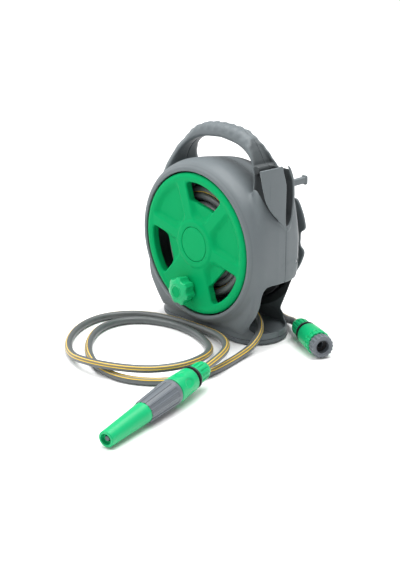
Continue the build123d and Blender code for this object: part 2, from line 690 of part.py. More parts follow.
# ------------------------------------------------------------------ water inlet on the back
COIL_Y = REAR_Y + COIL_DEPTH / 2
COIL_IN_R = BOSS_R + FIT_GAP
COIL_OUT_R = 91.6
LEAD_ARC_R = 52.0         # bend of the leader hose inside the boss
LEAD_START_X = COIL_IN_R + HOSE_D / 2 - 2 * LEAD_ARC_R
LEAD_STEPS = 6
LEAD_RUN = 2 * LEAD_ARC_R * math.tan(math.pi / 2 / LEAD_STEPS)
LEAD_START_Z = AXIS_Z + LEAD_RUN / 2
BARB_R = HOSE_BORE / 2
BARB_LENGTH = 12.0
ELBOW_BORE_R = 2.8
SEAL_OUT_R = AXLE_R + 1.8
SEAL_Y = CLIP_Y + CLIP_T + 1.6
SEAL_T = 1.8
ELBOW_RISE = LEAD_START_Z + 4 - AXIS_Z

arm_plane = Plane(origin=(0, COIL_Y, AXIS_Z), x_dir=(0, 1, 0), z_dir=(LEAD_START_X, 0, ELBOW_RISE))
arm_length = math.hypot(LEAD_START_X, ELBOW_RISE)

with BuildPart() as inlet_elbow:
    add(ring(TURN_BASE, 0, 13, CLIP_Y + CLIP_T + 0.8, BOSS_Y - 0.5).part)
    with BuildSketch(arm_plane):
        Circle(5)
    extrude(amount=arm_length)
    with BuildSketch(Plane(origin=(LEAD_START_X, COIL_Y, LEAD_START_Z + 9), x_dir=(1, 0, 0), z_dir=(0, 0, -1))):
        Circle(5.5)
    extrude(amount=9)
    with BuildSketch(Plane(origin=(LEAD_START_X, COIL_Y, LEAD_START_Z), x_dir=(1, 0, 0), z_dir=(0, 0, -1))):
        Circle(BARB_R)
    extrude(amount=BARB_LENGTH)
    add(ring(TURN_BASE, 0, AXLE_R + RUN_GAP, CLIP_Y - 1, AXLE_REAR_Y + 0.8).part, mode=Mode.SUBTRACT)
    add(ring(TURN_BASE, 0, SEAL_OUT_R, SEAL_Y, SEAL_Y + SEAL_T).part, mode=Mode.SUBTRACT)
    add(ring(TURN_BASE, 0, AXLE_R + 4, REAR_Y, CLIP_Y + CLIP_T + 0.8).part, mode=Mode.SUBTRACT)
    with BuildSketch(Plane(origin=(LEAD_START_X, COIL_Y, LEAD_START_Z - BARB_LENGTH - 1), z_dir=(0, 0, 1))):
        Circle(ELBOW_BORE_R)
    extrude(amount=BARB_LENGTH + 5, mode=Mode.SUBTRACT)
    with BuildSketch(arm_plane):
        Circle(ELBOW_BORE_R)
    extrude(amount=arm_length, mode=Mode.SUBTRACT)
save(inlet_elbow, "inlet_elbow")

axle_seal = ring(TURN_BASE, AXLE_R + RUN_GAP, SEAL_OUT_R, SEAL_Y, SEAL_Y + SEAL_T)
save(axle_seal, "axle_seal")

# ------------------------------------------------------------------ hose guard on the back, and the peg
with BuildPart() as hose_guard:
    with BuildSketch(reel_plane(BOSS_Y)):
        with PolarLocations(GUARD_R / 2, GUARD_LOBES, start_angle=24):
            Rectangle(GUARD_R, GUARD_LOBE_W)
        Circle(GUARD_R, mode=Mode.INTERSECT)
        Circle(GUARD_ROOT_R)
    extrude(amount=-GUARD_T)
    add(turned(TURN_BASE, [(54, BOSS_Y + GUARD_T), (62, BOSS_Y + GUARD_T), (60, BOSS_Y + GUARD_T + 2.5),
                           (56, BOSS_Y + GUARD_T + 2.5)]).part)
    add(ring(TURN_BASE, 0, 20, BOSS_Y + GUARD_T, BOSS_Y + GUARD_T + 2.5).part)
    with BuildSketch(reel_plane(BOSS_Y + GUARD_T)):
        with Locations(*[around(GUARD_SCREW_R, a) for a in GUARD_SCREW_ANGLES]):
            Circle(HEAD_R + FIT_GAP)
    extrude(amount=2.2, mode=Mode.SUBTRACT)
    with BuildSketch(reel_plane(BOSS_Y + GUARD_T)):
        with Locations(*[around(GUARD_SCREW_R, a) for a in GUARD_SCREW_ANGLES]):
            Circle(PILOT_R)
    extrude(amount=GUARD_T, mode=Mode.SUBTRACT)
save(hose_guard, "hose_guard")

guard_seat = Plane(origin=(0, BOSS_Y + GUARD_T - 2.2, AXIS_Z), x_dir=(-1, 0, 0), z_dir=(0, 1, 0))
guard_places = []
for angle in GUARD_SCREW_ANGLES:
    x, z = around(GUARD_SCREW_R, angle)
    guard_places.append((-x, z))
guard_screws = screws(guard_places, guard_seat, 10)
save(guard_screws, "guard_screws")

PEG_REACH = 20.0
with BuildPart() as hose_peg:
    with BuildSketch(Plane(origin=(PEG_AT[0], COLUMN_REAR_Y - 1.5, PEG_AT[1]), x_dir=(1, 0, 0), z_dir=(0, 1, 0))):
        RectangleRounded(9, 11, 2)
    extrude(amount=PEG_REACH)
    with BuildSketch(Plane(origin=(PEG_AT[0], COLUMN_REAR_Y + 12, PEG_AT[1] - 1), x_dir=(1, 0, 0),
                           z_dir=(0, 1, 0))):
        RectangleRounded(11, 15, 2)
    extrude(amount=4.5)
    add(both_shells.part, mode=Mode.SUBTRACT)
save(hose_peg, "hose_peg")

# ------------------------------------------------------------------ wound hose
hose_pack = ring(TURN_BASE, PACK_IN_R, PACK_OUT_R, PACK_FRONT_Y, PACK_REAR_Y)
save(hose_pack, "hose_pack")
leader_coil = ring(TURN_BASE, COIL_IN_R, COIL_OUT_R, COIL_Y - HOSE_D / 2, COIL_Y + HOSE_D / 2)
save(leader_coil, "leader_coil")
# The hose ends that run onto the coil stop a hair short of it.
coil_room = ring(TURN_BASE, BOSS_R, COIL_OUT_R + FIT_GAP / 2, REAR_Y, BOSS_Y)


def route_radii(points):
    """Bend radius for each inner point: 0.45 of the shorter run over the tangent of half the turn."""
    radii = []
    for before, here, after in zip(points, points[1:], points[2:]):
        run_in = Vector(*here) - Vector(*before)
        run_out = Vector(*after) - Vector(*here)
        half_turn = math.radians(run_in.get_angle(run_out)) / 2
        radii.append(0.45 * min(run_in.length, run_out.length) / math.tan(half_turn))
    return radii


def hose(points, name):
    """Hose of the full diameter along straight runs joined by tangent arcs."""
    radii = route_radii(points)
    start = Vector(*points[1]) - Vector(*points[0])
    with BuildPart() as tube:
        with BuildLine():
            path = FilletPolyline(*points, radius=radii)
        with BuildSketch(Plane(origin=points[0], z_dir=start)):
            Circle(HOSE_D / 2)
        sweep(path=path)
    section = math.pi * HOSE_D ** 2 / 4
    print(name, "length", round(path.length, 1), "volume ratio", round(tube.part.volume / section / path.length, 4),
          "smallest radius", round(min(radii), 1))
    return tube


# Leader hose, first stretch: from the inlet round inside the boss and out through its notch.
lead_arc = []
lead_centre_x = LEAD_START_X + LEAD_ARC_R
vertex_r = LEAD_ARC_R / math.cos(math.pi / 2 / LEAD_STEPS)
for k in range(LEAD_STEPS):
    a = math.pi + (k + 0.5) * math.pi / LEAD_STEPS
    lead_arc.append((lead_centre_x + vertex_r * math.cos(a), COIL_Y, AXIS_Z + vertex_r * math.sin(a)))
lead_arc.insert(0, (LEAD_START_X, COIL_Y, LEAD_START_Z))
lead_arc.append((lead_centre_x + LEAD_ARC_R, COIL_Y, LEAD_START_Z))
leader_inner = hose(lead_arc, "leader_inner")
with BuildPart() as leader_start:
    add(leader_inner.part)
    add(coil_room.part, mode=Mode.SUBTRACT)
save(leader_start, "leader_start")

# Leader hose, last stretch: off the coil, down behind the foot and out to the tap connector.
TAP_AT = (115.7, 37.8, 18.0)
TAP_DIR = Vector(0.913, -0.408, 0).normalized()
LEAD_END_R = COIL_OUT_R - HOSE_D / 2
lead_off = LEAD_END_R * math.sqrt(0.5)
lead_route = [
    (-lead_off, COIL_Y, AXIS_Z - lead_off),
    (-35, 67.5, 47),
    (-9, 70.5, 24),
    (17, 74, 10),
    (46, 70, 5.6),
    (76, 58, 9.5),
    (TAP_AT[0] - 18 * TAP_DIR.X, TAP_AT[1] - 18 * TAP_DIR.Y, TAP_AT[2]),
    (TAP_AT[0] + 14 * TAP_DIR.X, TAP_AT[1] + 14 * TAP_DIR.Y, TAP_AT[2]),
]
leader_outer = hose(lead_route, "leader_hose")
with BuildPart() as leader_hose:
    add(leader_outer.part)
    add(coil_room.part, mode=Mode.SUBTRACT)
save(leader_hose, "leader_hose")

# Delivery hose: off the bottom of the wound hose, out through the side opening, two loops on the floor
# in front, then up into the nozzle connector.
NOZZLE_AT = (151.0, -182.0, 26.0)
NOZZLE_DIR = Vector(51.4, -208.0, -13.5).normalized()
delivery_route = [
    (-6, -14, 45),
    (28, -11, 44.5),
    (58, -8, 41),
    (85, -12, 33),
    (105, -30, 21),
    (114, -57, 10),
    (119, -86, 5.6),
    (126, -117, 5.5),
    (132, -150, 5.6),
    (127, -190, 5.5),
    (105, -228, 5.5),
    (66, -253, 5.5),
    (20, -254, 5.5),
    (-26, -236, 5.5),
    (-66, -205, 5.5),
    (-95, -165, 5.5),
    (-99, -124, 5.5),
    (-77, -90, 5.5),
    (-34, -71, 5.5),
    (10, -71, 5.5),
    (50, -84, 6.5),
    (84, -106, 10.5),
    (107, -142, 16.5),
    (111, -186, 18.5),
    (92, -225, 18.5),
    (54, -253, 18.5),
    (8, -266, 16),
    (-40, -257, 7.5),
    (-84, -229, 5.5),
    (-118, -186, 5.5),
    (-131, -136, 5.5),
    (-112, -92, 5.5),
    (-74, -66, 5.5),
    (-30, -57, 5.8),
    (12, -58, 8.5),
    (48, -65, 13),
    (79, -78, 18),
    (106, -97, 22),
    (128, -122, 26),
    (NOZZLE_AT[0] - 24 * NOZZLE_DIR.X, NOZZLE_AT[1] - 24 * NOZZLE_DIR.Y, NOZZLE_AT[2] - 24 * NOZZLE_DIR.Z),
    (NOZZLE_AT[0] + 16 * NOZZLE_DIR.X, NOZZLE_AT[1] + 16 * NOZZLE_DIR.Y, NOZZLE_AT[2] + 16 * NOZZLE_DIR.Z),
]
delivery_hose = hose(delivery_route, "delivery_hose")
save(delivery_hose, "delivery_hose")


# ------------------------------------------------------------------ hose connectors
# Stations are measured from the hose end of the nut, along the connector.
NUT_LENGTH = 26.0
NUT_R = 13.6
NUT_RIBS = 16
NUT_RIB_R = 0.9
BODY_R = 14.0
NUT_SKIRT_R = BODY_R - 3.4
HOSE_ENTRY = 5.8
GROOVE_AT = 27.4          # grey flange behind the release collar
FLANGE_LENGTH = 3.0
FLANGE_EDGE_R = 15.8
COLLAR_TRAVEL = 3.5
COLLAR_AT = GROOVE_AT + FLANGE_LENGTH + COLLAR_TRAVEL + 0.5
COLLAR_END = 73.5
COLLAR_R = 17.8
COLLAR_BACK_R = 16.4
DIMPLE_R = 5.0
SOCKET_AT = 54.0          # bottom of the socket
SOCKET_R = 8.9
SPIGOT_AT = SOCKET_AT + 2
SEAL_AT = SPIGOT_AT + 4
SEAL_LENGTH = 2.0
SPIGOT_NECK_R = SOCKET_R - 1.6
WATERWAY_R = 2.8
MATE_AT = COLLAR_END + 0.8   # whatever plugs in starts just ahead of the collar


def hose_nut(base):
    """Ribbed nut that grips the hose: tapered outside, hollow inside."""
    with BuildPart() as nut:
        add(turned(base, [(HOSE_ENTRY, 0), (NUT_R - 2.5, 0), (NUT_R - 1.4, 3), (NUT_R - 0.6, NUT_LENGTH),
                          (NUT_SKIRT_R, NUT_LENGTH), (NUT_SKIRT_R, 9), (HOSE_ENTRY, 5)]).part)
        with BuildSketch(base.offset(3)):
            with PolarLocations(NUT_R - 0.7, NUT_RIBS):
                Circle(NUT_RIB_R)
        extrude(amount=NUT_LENGTH - 5)
    return nut


def connector_body(base):
    """Body of a quick connector: barb for the hose, flange, and the socket that the mate plugs into."""
    neck_r = NUT_SKIRT_R - 0.4
    return turned(base, [
        (WATERWAY_R, 5), (BARB_R, 5), (BARB_R, 20), (neck_r, 20), (neck_r, GROOVE_AT), (FLANGE_EDGE_R, GROOVE_AT),
        (FLANGE_EDGE_R, GROOVE_AT + FLANGE_LENGTH), (BODY_R, GROOVE_AT + FLANGE_LENGTH), (BODY_R, COLLAR_END - 1.5),
        (BODY_R - 1.6, COLLAR_END - 0.5), (SOCKET_R + RUN_GAP, COLLAR_END - 0.5), (SOCKET_R + RUN_GAP, SOCKET_AT),
        (WATERWAY_R, SOCKET_AT - 2)])


def collet(base):
    """Split ring that the nut squeezes onto the hose."""
    with BuildPart() as grip:
        add(ring(base, HOSE_D / 2 + 0.05, NUT_SKIRT_R - 1, 10, 19).part)
        with BuildSketch(base.offset(12)):
            with PolarLocations(9, 6):
                Rectangle(8, 1.2)
        extrude(amount=10, mode=Mode.SUBTRACT)
    return grip


def release_collar(base, dimples):
    """Sliding collar: pulled back over the body it frees the mate."""
    with BuildPart() as collar:
        add(turned(base, [(BODY_R + 0.2, COLLAR_AT), (COLLAR_BACK_R - 0.8, COLLAR_AT),
                          (COLLAR_BACK_R, COLLAR_AT + 0.8), (COLLAR_R, COLLAR_END - 8), (COLLAR_R, COLLAR_END - 0.8),
                          (COLLAR_R - 0.8, COLLAR_END), (BODY_R + 0.2, COLLAR_END)]).part)
        with BuildSketch(base.offset((COLLAR_AT + COLLAR_END) / 2 - DIMPLE_R)):
            with PolarLocations(COLLAR_R + DIMPLE_R - 2, dimples):
                Circle(DIMPLE_R)
        extrude(amount=2 * DIMPLE_R, mode=Mode.SUBTRACT)
    return collar


def mate_seal(base):
    """O-ring on the mate's spigot, inside the socket."""
    return ring(base, SOCKET_R - 1.5, SOCKET_R, SEAL_AT, SEAL_AT + SEAL_LENGTH)


def spigot_outline(bore):
    """Outline of the spigot that plugs into a connector, from its bore to the face of the collar."""
    behind_seal = SEAL_AT + SEAL_LENGTH + 0.5
    return [(bore, SPIGOT_AT), (SPIGOT_NECK_R, SPIGOT_AT), (SPIGOT_NECK_R, behind_seal), (SOCKET_R, behind_seal),
            (SOCKET_R, MATE_AT)]


def connector_plane(at, direction):
    """Plane across the hose end of a connector, x level with the floor."""
    return Plane(origin=at, x_dir=Vector(0, 0, 1).cross(direction), z_dir=direction)


nozzle_base = connector_plane(NOZZLE_AT, NOZZLE_DIR)
tap_base = connector_plane(TAP_AT, TAP_DIR)
for base, tag, dimples in ((nozzle_base, "nozzle", 6), (tap_base, "tap", 12)):
    save(hose_nut(base), f"{tag}_hose_nut")
    save(connector_body(base), f"{tag}_connector_body")
    save(collet(base), f"{tag}_collet")
    save(release_collar(base, dimples), f"{tag}_release_collar")
    save(mate_seal(base), f"{tag}_mate_seal")

# ------------------------------------------------------------------ spray nozzle
SLEEVE_END = 137.0
SLEEVE_CAVITY_AT = 122.0
NOZZLE_BORE_R = 4.0
STEM_R = 9.0
STEM_END = 151.0
BARREL_AT = 130.0
BARREL_STOP = STEM_END + 8   # inside the barrel, ahead of the stem's seal
BARREL_END = 214.0
BARREL_BACK_R = 13.8
BARREL_TIP_R = 10.8
BARREL_BORE_R = 7.6
OUTLET_R = 4.6
NOZZLE_PIN_R = 2.3
VANE_AT = 131.0
sleeve_front_r = BARREL_BACK_R + 1.6
cavity_r = BARREL_BACK_R + 0.4

nozzle_sleeve = turned(nozzle_base, spigot_outline(NOZZLE_BORE_R) + [
    (COLLAR_R - 0.4, MATE_AT), (COLLAR_R, MATE_AT + 1), (COLLAR_R, MATE_AT + 12),
    (sleeve_front_r, SLEEVE_END - 1), (sleeve_front_r - 0.5, SLEEVE_END), (cavity_r, SLEEVE_END),
    (cavity_r, SLEEVE_CAVITY_AT), (STEM_R, SLEEVE_CAVITY_AT), (STEM_R, STEM_END), (NOZZLE_BORE_R, STEM_END)])
save(nozzle_sleeve, "nozzle_sleeve")

with BuildPart() as nozzle_pin:
    add(turned(nozzle_base, [(0, VANE_AT - 2), (NOZZLE_PIN_R, VANE_AT - 2), (NOZZLE_PIN_R, BARREL_END - 8),
                             (NOZZLE_PIN_R + 0.8, BARREL_END - 6), (NOZZLE_PIN_R + 0.8, BARREL_END - 3),
                             (0, BARREL_END - 2)]).part)
    with BuildSketch(nozzle_base.offset(VANE_AT)):
        Rectangle(2 * NOZZLE_BORE_R - 0.4, 1.4)
        Rectangle(1.4, 2 * NOZZLE_BORE_R - 0.4)
    extrude(amount=8)
save(nozzle_pin, "nozzle_pin")

spray_barrel = turned(nozzle_base, [
    (STEM_R + 0.1, BARREL_AT), (BARREL_BACK_R, BARREL_AT), (BARREL_BACK_R, BARREL_AT + 12),
    (BARREL_TIP_R, BARREL_END - 1), (BARREL_TIP_R - 1, BARREL_END), (BARREL_TIP_R - 3.2, BARREL_END),
    (BARREL_TIP_R - 3.6, BARREL_END - 5), (OUTLET_R, BARREL_END - 5), (OUTLET_R, BARREL_END - 9),
    (BARREL_BORE_R, BARREL_END - 16), (BARREL_BORE_R, BARREL_STOP), (STEM_R + 0.1, BARREL_STOP)])
save(spray_barrel, "spray_barrel")

spray_seal = ring(nozzle_base, STEM_R - 2.8, STEM_R - 0.2, STEM_END + 0.6, STEM_END + 2.4)
save(spray_seal, "spray_seal")

# ------------------------------------------------------------------ tap adaptor
TAP_BORE_R = 9.32         # minor radius of a G1/2 thread
ADAPTOR_END = 87.3
ADAPTOR_R = 16.4
ADAPTOR_BORE_R = 4.5
WASHER_AT = MATE_AT + 2.0
WASHER_T = 1.6
THREAD_AT = WASHER_AT + WASHER_T + 0.2
THREAD_END = ADAPTOR_END - 0.8

tap_adaptor = turned(tap_base, spigot_outline(ADAPTOR_BORE_R) + [
    (ADAPTOR_R - 1, MATE_AT), (ADAPTOR_R, MATE_AT + 1), (ADAPTOR_R, ADAPTOR_END - 1),
    (ADAPTOR_R - 1, ADAPTOR_END), (TAP_BORE_R + 0.8, ADAPTOR_END), (TAP_BORE_R, THREAD_END),
    (TAP_BORE_R, THREAD_AT), (TAP_BORE_R + 0.3, THREAD_AT), (TAP_BORE_R + 0.3, WASHER_AT),
    (ADAPTOR_BORE_R, WASHER_AT)])
save(tap_adaptor, "tap_adaptor")

tap_washer = ring(tap_base, 5.0, TAP_BORE_R + 0.2, WASHER_AT, WASHER_AT + WASHER_T)
save(tap_washer, "tap_washer")
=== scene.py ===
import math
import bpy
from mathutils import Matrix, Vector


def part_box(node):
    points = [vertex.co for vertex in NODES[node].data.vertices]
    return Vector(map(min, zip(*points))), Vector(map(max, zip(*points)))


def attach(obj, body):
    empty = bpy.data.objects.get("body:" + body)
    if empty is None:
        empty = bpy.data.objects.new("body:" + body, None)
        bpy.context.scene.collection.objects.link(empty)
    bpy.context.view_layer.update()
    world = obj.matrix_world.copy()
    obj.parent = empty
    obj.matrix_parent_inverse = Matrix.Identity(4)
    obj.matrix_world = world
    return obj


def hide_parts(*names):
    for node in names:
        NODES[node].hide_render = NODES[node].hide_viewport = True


bl_info = {
    "name": "Portable Hose Reel",
    "version": (1, 0, 0),
    "blender": (4, 5, 0),
    "location": "View3D > Sidebar > Hose Reel",
    "description": "Builds the moulded shells, hoses, fittings and finishes of a portable garden hose reel",
    "category": "Object",
}

import bmesh
import bpy
import numpy as np
import openvdb
from mathutils import Vector

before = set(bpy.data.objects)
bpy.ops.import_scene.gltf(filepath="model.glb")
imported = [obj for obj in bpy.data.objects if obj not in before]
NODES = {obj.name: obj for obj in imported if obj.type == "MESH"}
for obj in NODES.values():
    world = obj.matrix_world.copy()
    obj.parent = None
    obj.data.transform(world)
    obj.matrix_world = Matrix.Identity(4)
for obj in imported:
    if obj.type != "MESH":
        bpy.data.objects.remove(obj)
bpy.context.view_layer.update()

# ------------------------------------------------------------------ places and sizes taken from the frame, in mm
MM = 0.001


def box_mm(node):
    low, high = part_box(node)
    return np.array(low) / MM, np.array(high) / MM


SHELL_LOW, SHELL_HIGH = box_mm("front_housing")
DISC_LOW, DISC_HIGH = box_mm("winding_disc")
COIL_LOW, COIL_HIGH = box_mm("leader_coil")
PACK_LOW, PACK_HIGH = box_mm("hose_pack")
PLATE_LOW, PLATE_HIGH = box_mm("base_plate")
KNOB_LOW, KNOB_HIGH = box_mm("winding_knob")
GUARD_LOW, GUARD_HIGH = box_mm("hose_guard")
PEG_LOW, PEG_HIGH = box_mm("hose_peg")

AXIS_Z = (DISC_LOW[2] + DISC_HIGH[2]) / 2
DISC_R = (DISC_HIGH[0] - DISC_LOW[0]) / 2
FACE_Y = SHELL_LOW[1]
BACK_Y = COIL_LOW[1] - 1.2
BOSS_Y = COIL_HIGH[1] + 1.2
HALF_WIDTH = SHELL_HIGH[0]
HANDLE_TOP = SHELL_HIGH[2] - AXIS_Z
PLATE_TOP = PLATE_HIGH[2]
PLATE_MID = (PLATE_LOW[2] + PLATE_HIGH[2]) / 2
PLATE_HALF = (PLATE_HIGH[2] - PLATE_LOW[2]) / 2
FEET_AT = [(-78, -18), (-78, 18), (0, 0), (78, -18), (78, 18)]
COIL_Y = (COIL_LOW[1] + COIL_HIGH[1]) / 2


# ------------------------------------------------------------------ colour
def linear(hex_colour):
    """Linear red, green and blue of an sRGB hex colour."""
    parts = [int(hex_colour[i:i + 2], 16) / 255 for i in (1, 3, 5)]
    return tuple(c / 12.92 if c <= 0.04045 else ((c + 0.055) / 1.055) ** 2.4 for c in parts)


# ------------------------------------------------------------------ fields: distances in mm, negative inside a solid
def either(a, b, blend):
    """Two solids joined with a fillet of about blend mm."""
    h = np.clip(0.5 + 0.5 * (b - a) / blend, 0, 1)
    return b * (1 - h) + a * h - blend * h * (1 - h)


def both(a, b, blend):
    """Where two solids overlap, its edges rounded by about blend mm."""
    return -either(-a, -b, blend)


def without(a, b, blend):
    """Solid a cut by solid b, the edges of the cut rounded."""
    return both(a, -b, blend)


def outline_field(u, v, points):
    """Distance to a closed outline in the plane of u and v."""
    u, v = np.broadcast_arrays(u, v)
    nearest = np.full(u.shape, 1e9)
    inside = np.zeros(u.shape, bool)
    for (ax, ay), (bx, by) in zip(points, points[1:] + points[:1]):
        ex, ey = bx - ax, by - ay
        share = np.clip(((u - ax) * ex + (v - ay) * ey) / (ex * ex + ey * ey + 1e-12), 0, 1)
        nearest = np.minimum(nearest, (u - ax - share * ex) ** 2 + (v - ay - share * ey) ** 2)
        if ay != by:
            inside ^= ((ay > v) != (by > v)) & (u < ax + (v - ay) * ex / ey)
    return (np.sqrt(nearest) * np.where(inside, -1, 1)).astype(np.float32)


def turned_field(radius, y, points):
    """Distance to a body turned about the reel axis, from its outline of (radius, y) points."""
    step = 0.5
    rings = np.arange(0, radius.max() + 2 * step, step)
    table = outline_field(rings[:, None], y.reshape(1, -1), points)
    place = radius / step
    ring = place.astype(int)
    share = (place - ring)[..., None]
    found = table[ring] * (1 - share) + table[ring + 1] * share
    return np.moveaxis(found[:, 0], -1, 1).astype(np.float32)


def smooth_line(points, steps=8):
    """Points of a smooth line through the given ones."""
    p = np.array([points[0], *points, points[-1]], float)
    found = []
    for a, b, c, d in zip(p, p[1:], p[2:], p[3:]):
        for t in np.arange(steps) / steps:
            curve = 2 * b + (c - a) * t + (2 * a - 5 * b + 4 * c - d) * t ** 2 + (3 * b - a - 3 * c + d) * t ** 3
            found.append(tuple(curve / 2))
    return found + [tuple(points[-1])]


def smooth_corners(points, cut):
    """An outline whose corners are rounded over cut mm."""
    found = []
    count = len(points)
    for i in range(count):
        here = np.array(points[i], float)
        before = np.array(points[i - 1], float) - here
        after = np.array(points[(i + 1) % count], float) - here
        reach_in = min(cut, np.linalg.norm(before) * 0.45)
        reach_out = min(cut, np.linalg.norm(after) * 0.45)
        start = here + before / np.linalg.norm(before) * reach_in
        end = here + after / np.linalg.norm(after) * reach_out
        for t in (0, 0.25, 0.5, 0.75, 1):
            found.append(tuple((1 - t) ** 2 * start + 2 * t * (1 - t) * here + t * t * end))
    return found


def capsule_field(x, z, half_length, radius):
    """Distance to an upright prism with a stadium outline, long along the first direction."""
    return np.hypot(np.maximum(np.abs(x) - half_length, 0), z) - radius


def tube_mask(x, z, centre, radius):
    """Distance to a round bar along y."""
    return np.hypot(x - centre[0], z - centre[1]) - radius


def mould(name, field, low, high, step):
    """Closed mesh of the solid that a field describes, sampled on a grid of step mm."""
    low = np.array(low, float) - 2 * step
    counts = np.ceil((np.array(high, float) + 2 * step - low) / step).astype(int)
    axes = [(low[i] + step * np.arange(counts[i])).astype(np.float32) for i in range(3)]
    x, y, z = axes[0][:, None, None], axes[1][None, :, None], axes[2][None, None, :]
    values = np.clip(np.broadcast_to(field(x, y, z), counts), -3 * step, 3 * step).astype(np.float32)
    for face in (0, -1):
        values[face], values[:, face], values[:, :, face] = 3 * step, 3 * step, 3 * step
    grid = openvdb.FloatGrid(3 * step)
    grid.copyFromArray(np.ascontiguousarray(values))
    points, triangles, quads = grid.convertToPolygons(isovalue=0.0, adaptivity=0.0)
    points = (points * step + low) * MM
    mesh = bpy.data.meshes.new(name)
    mesh.from_pydata(points.tolist(), [], quads[:, ::-1].tolist() + triangles[:, ::-1].tolist())
    mesh.validate()
    mesh.shade_smooth()
    return mesh


def keep_large(mesh, smallest=200):
    """Removes crumbs that a thin edge leaves behind."""
    count = len(mesh.vertices)
    parent = np.arange(count)
    edges = np.empty(len(mesh.edges) * 2, int)
    mesh.edges.foreach_get("vertices", edges)
    a, b = edges[::2], edges[1::2]
    while True:
        lowest = np.minimum(parent[a], parent[b])
        before = parent.copy()
        np.minimum.at(parent, a, lowest)
        np.minimum.at(parent, b, lowest)
        parent = parent[parent]
        if (parent == before).all():
            break
    labels, sizes = np.unique(parent, return_counts=True)
    small = np.isin(parent, labels[sizes < smallest])
    if small.any():
        work = bmesh.new()
        work.from_mesh(mesh)
        work.verts.ensure_lookup_table()
        bmesh.ops.delete(work, geom=[work.verts[i] for i in np.nonzero(small)[0]], context="VERTS")
        work.to_mesh(mesh)
        work.free()
    return mesh


def add_piece(name, mesh, body, material, slot, *stands_for):
    """A new piece of the object: it rides on body and stands for the named CAD nodes."""
    piece = bpy.data.objects.new(name, mesh)
    bpy.context.scene.collection.objects.link(piece)
    piece.data.materials.clear()
    piece.data.materials.append(material)
    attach(piece, body)
    if stands_for:
        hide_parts(*stands_for)
    return piece


# ------------------------------------------------------------------ materials
def set_inputs(tree, node, inputs):
    """Links or sets inputs by name or number; a node given as the value stands for its first output."""
    for key, value in inputs.items():
        if isinstance(value, bpy.types.Node):
            value = value.outputs[0]
        if isinstance(value, bpy.types.NodeSocket):
            tree.links.new(value, node.inputs[key])
        else:
            node.inputs[key].default_value = value


def add_node(tree, kind, settings=None, inputs=None):
    """Adds a node, sets its values, and links or sets its inputs."""
    node = tree.nodes.new(kind)
    for key, value in (settings or {}).items():
        setattr(node, key, value)
    set_inputs(tree, node, inputs or {})
    return node


def new_material(name):
    material = bpy.data.materials.get(name)
    if material:
        return material, None, None
    material = bpy.data.materials.new(name)
    material.use_nodes = True
    tree = material.node_tree
    return material, tree, tree.nodes["Principled BSDF"]


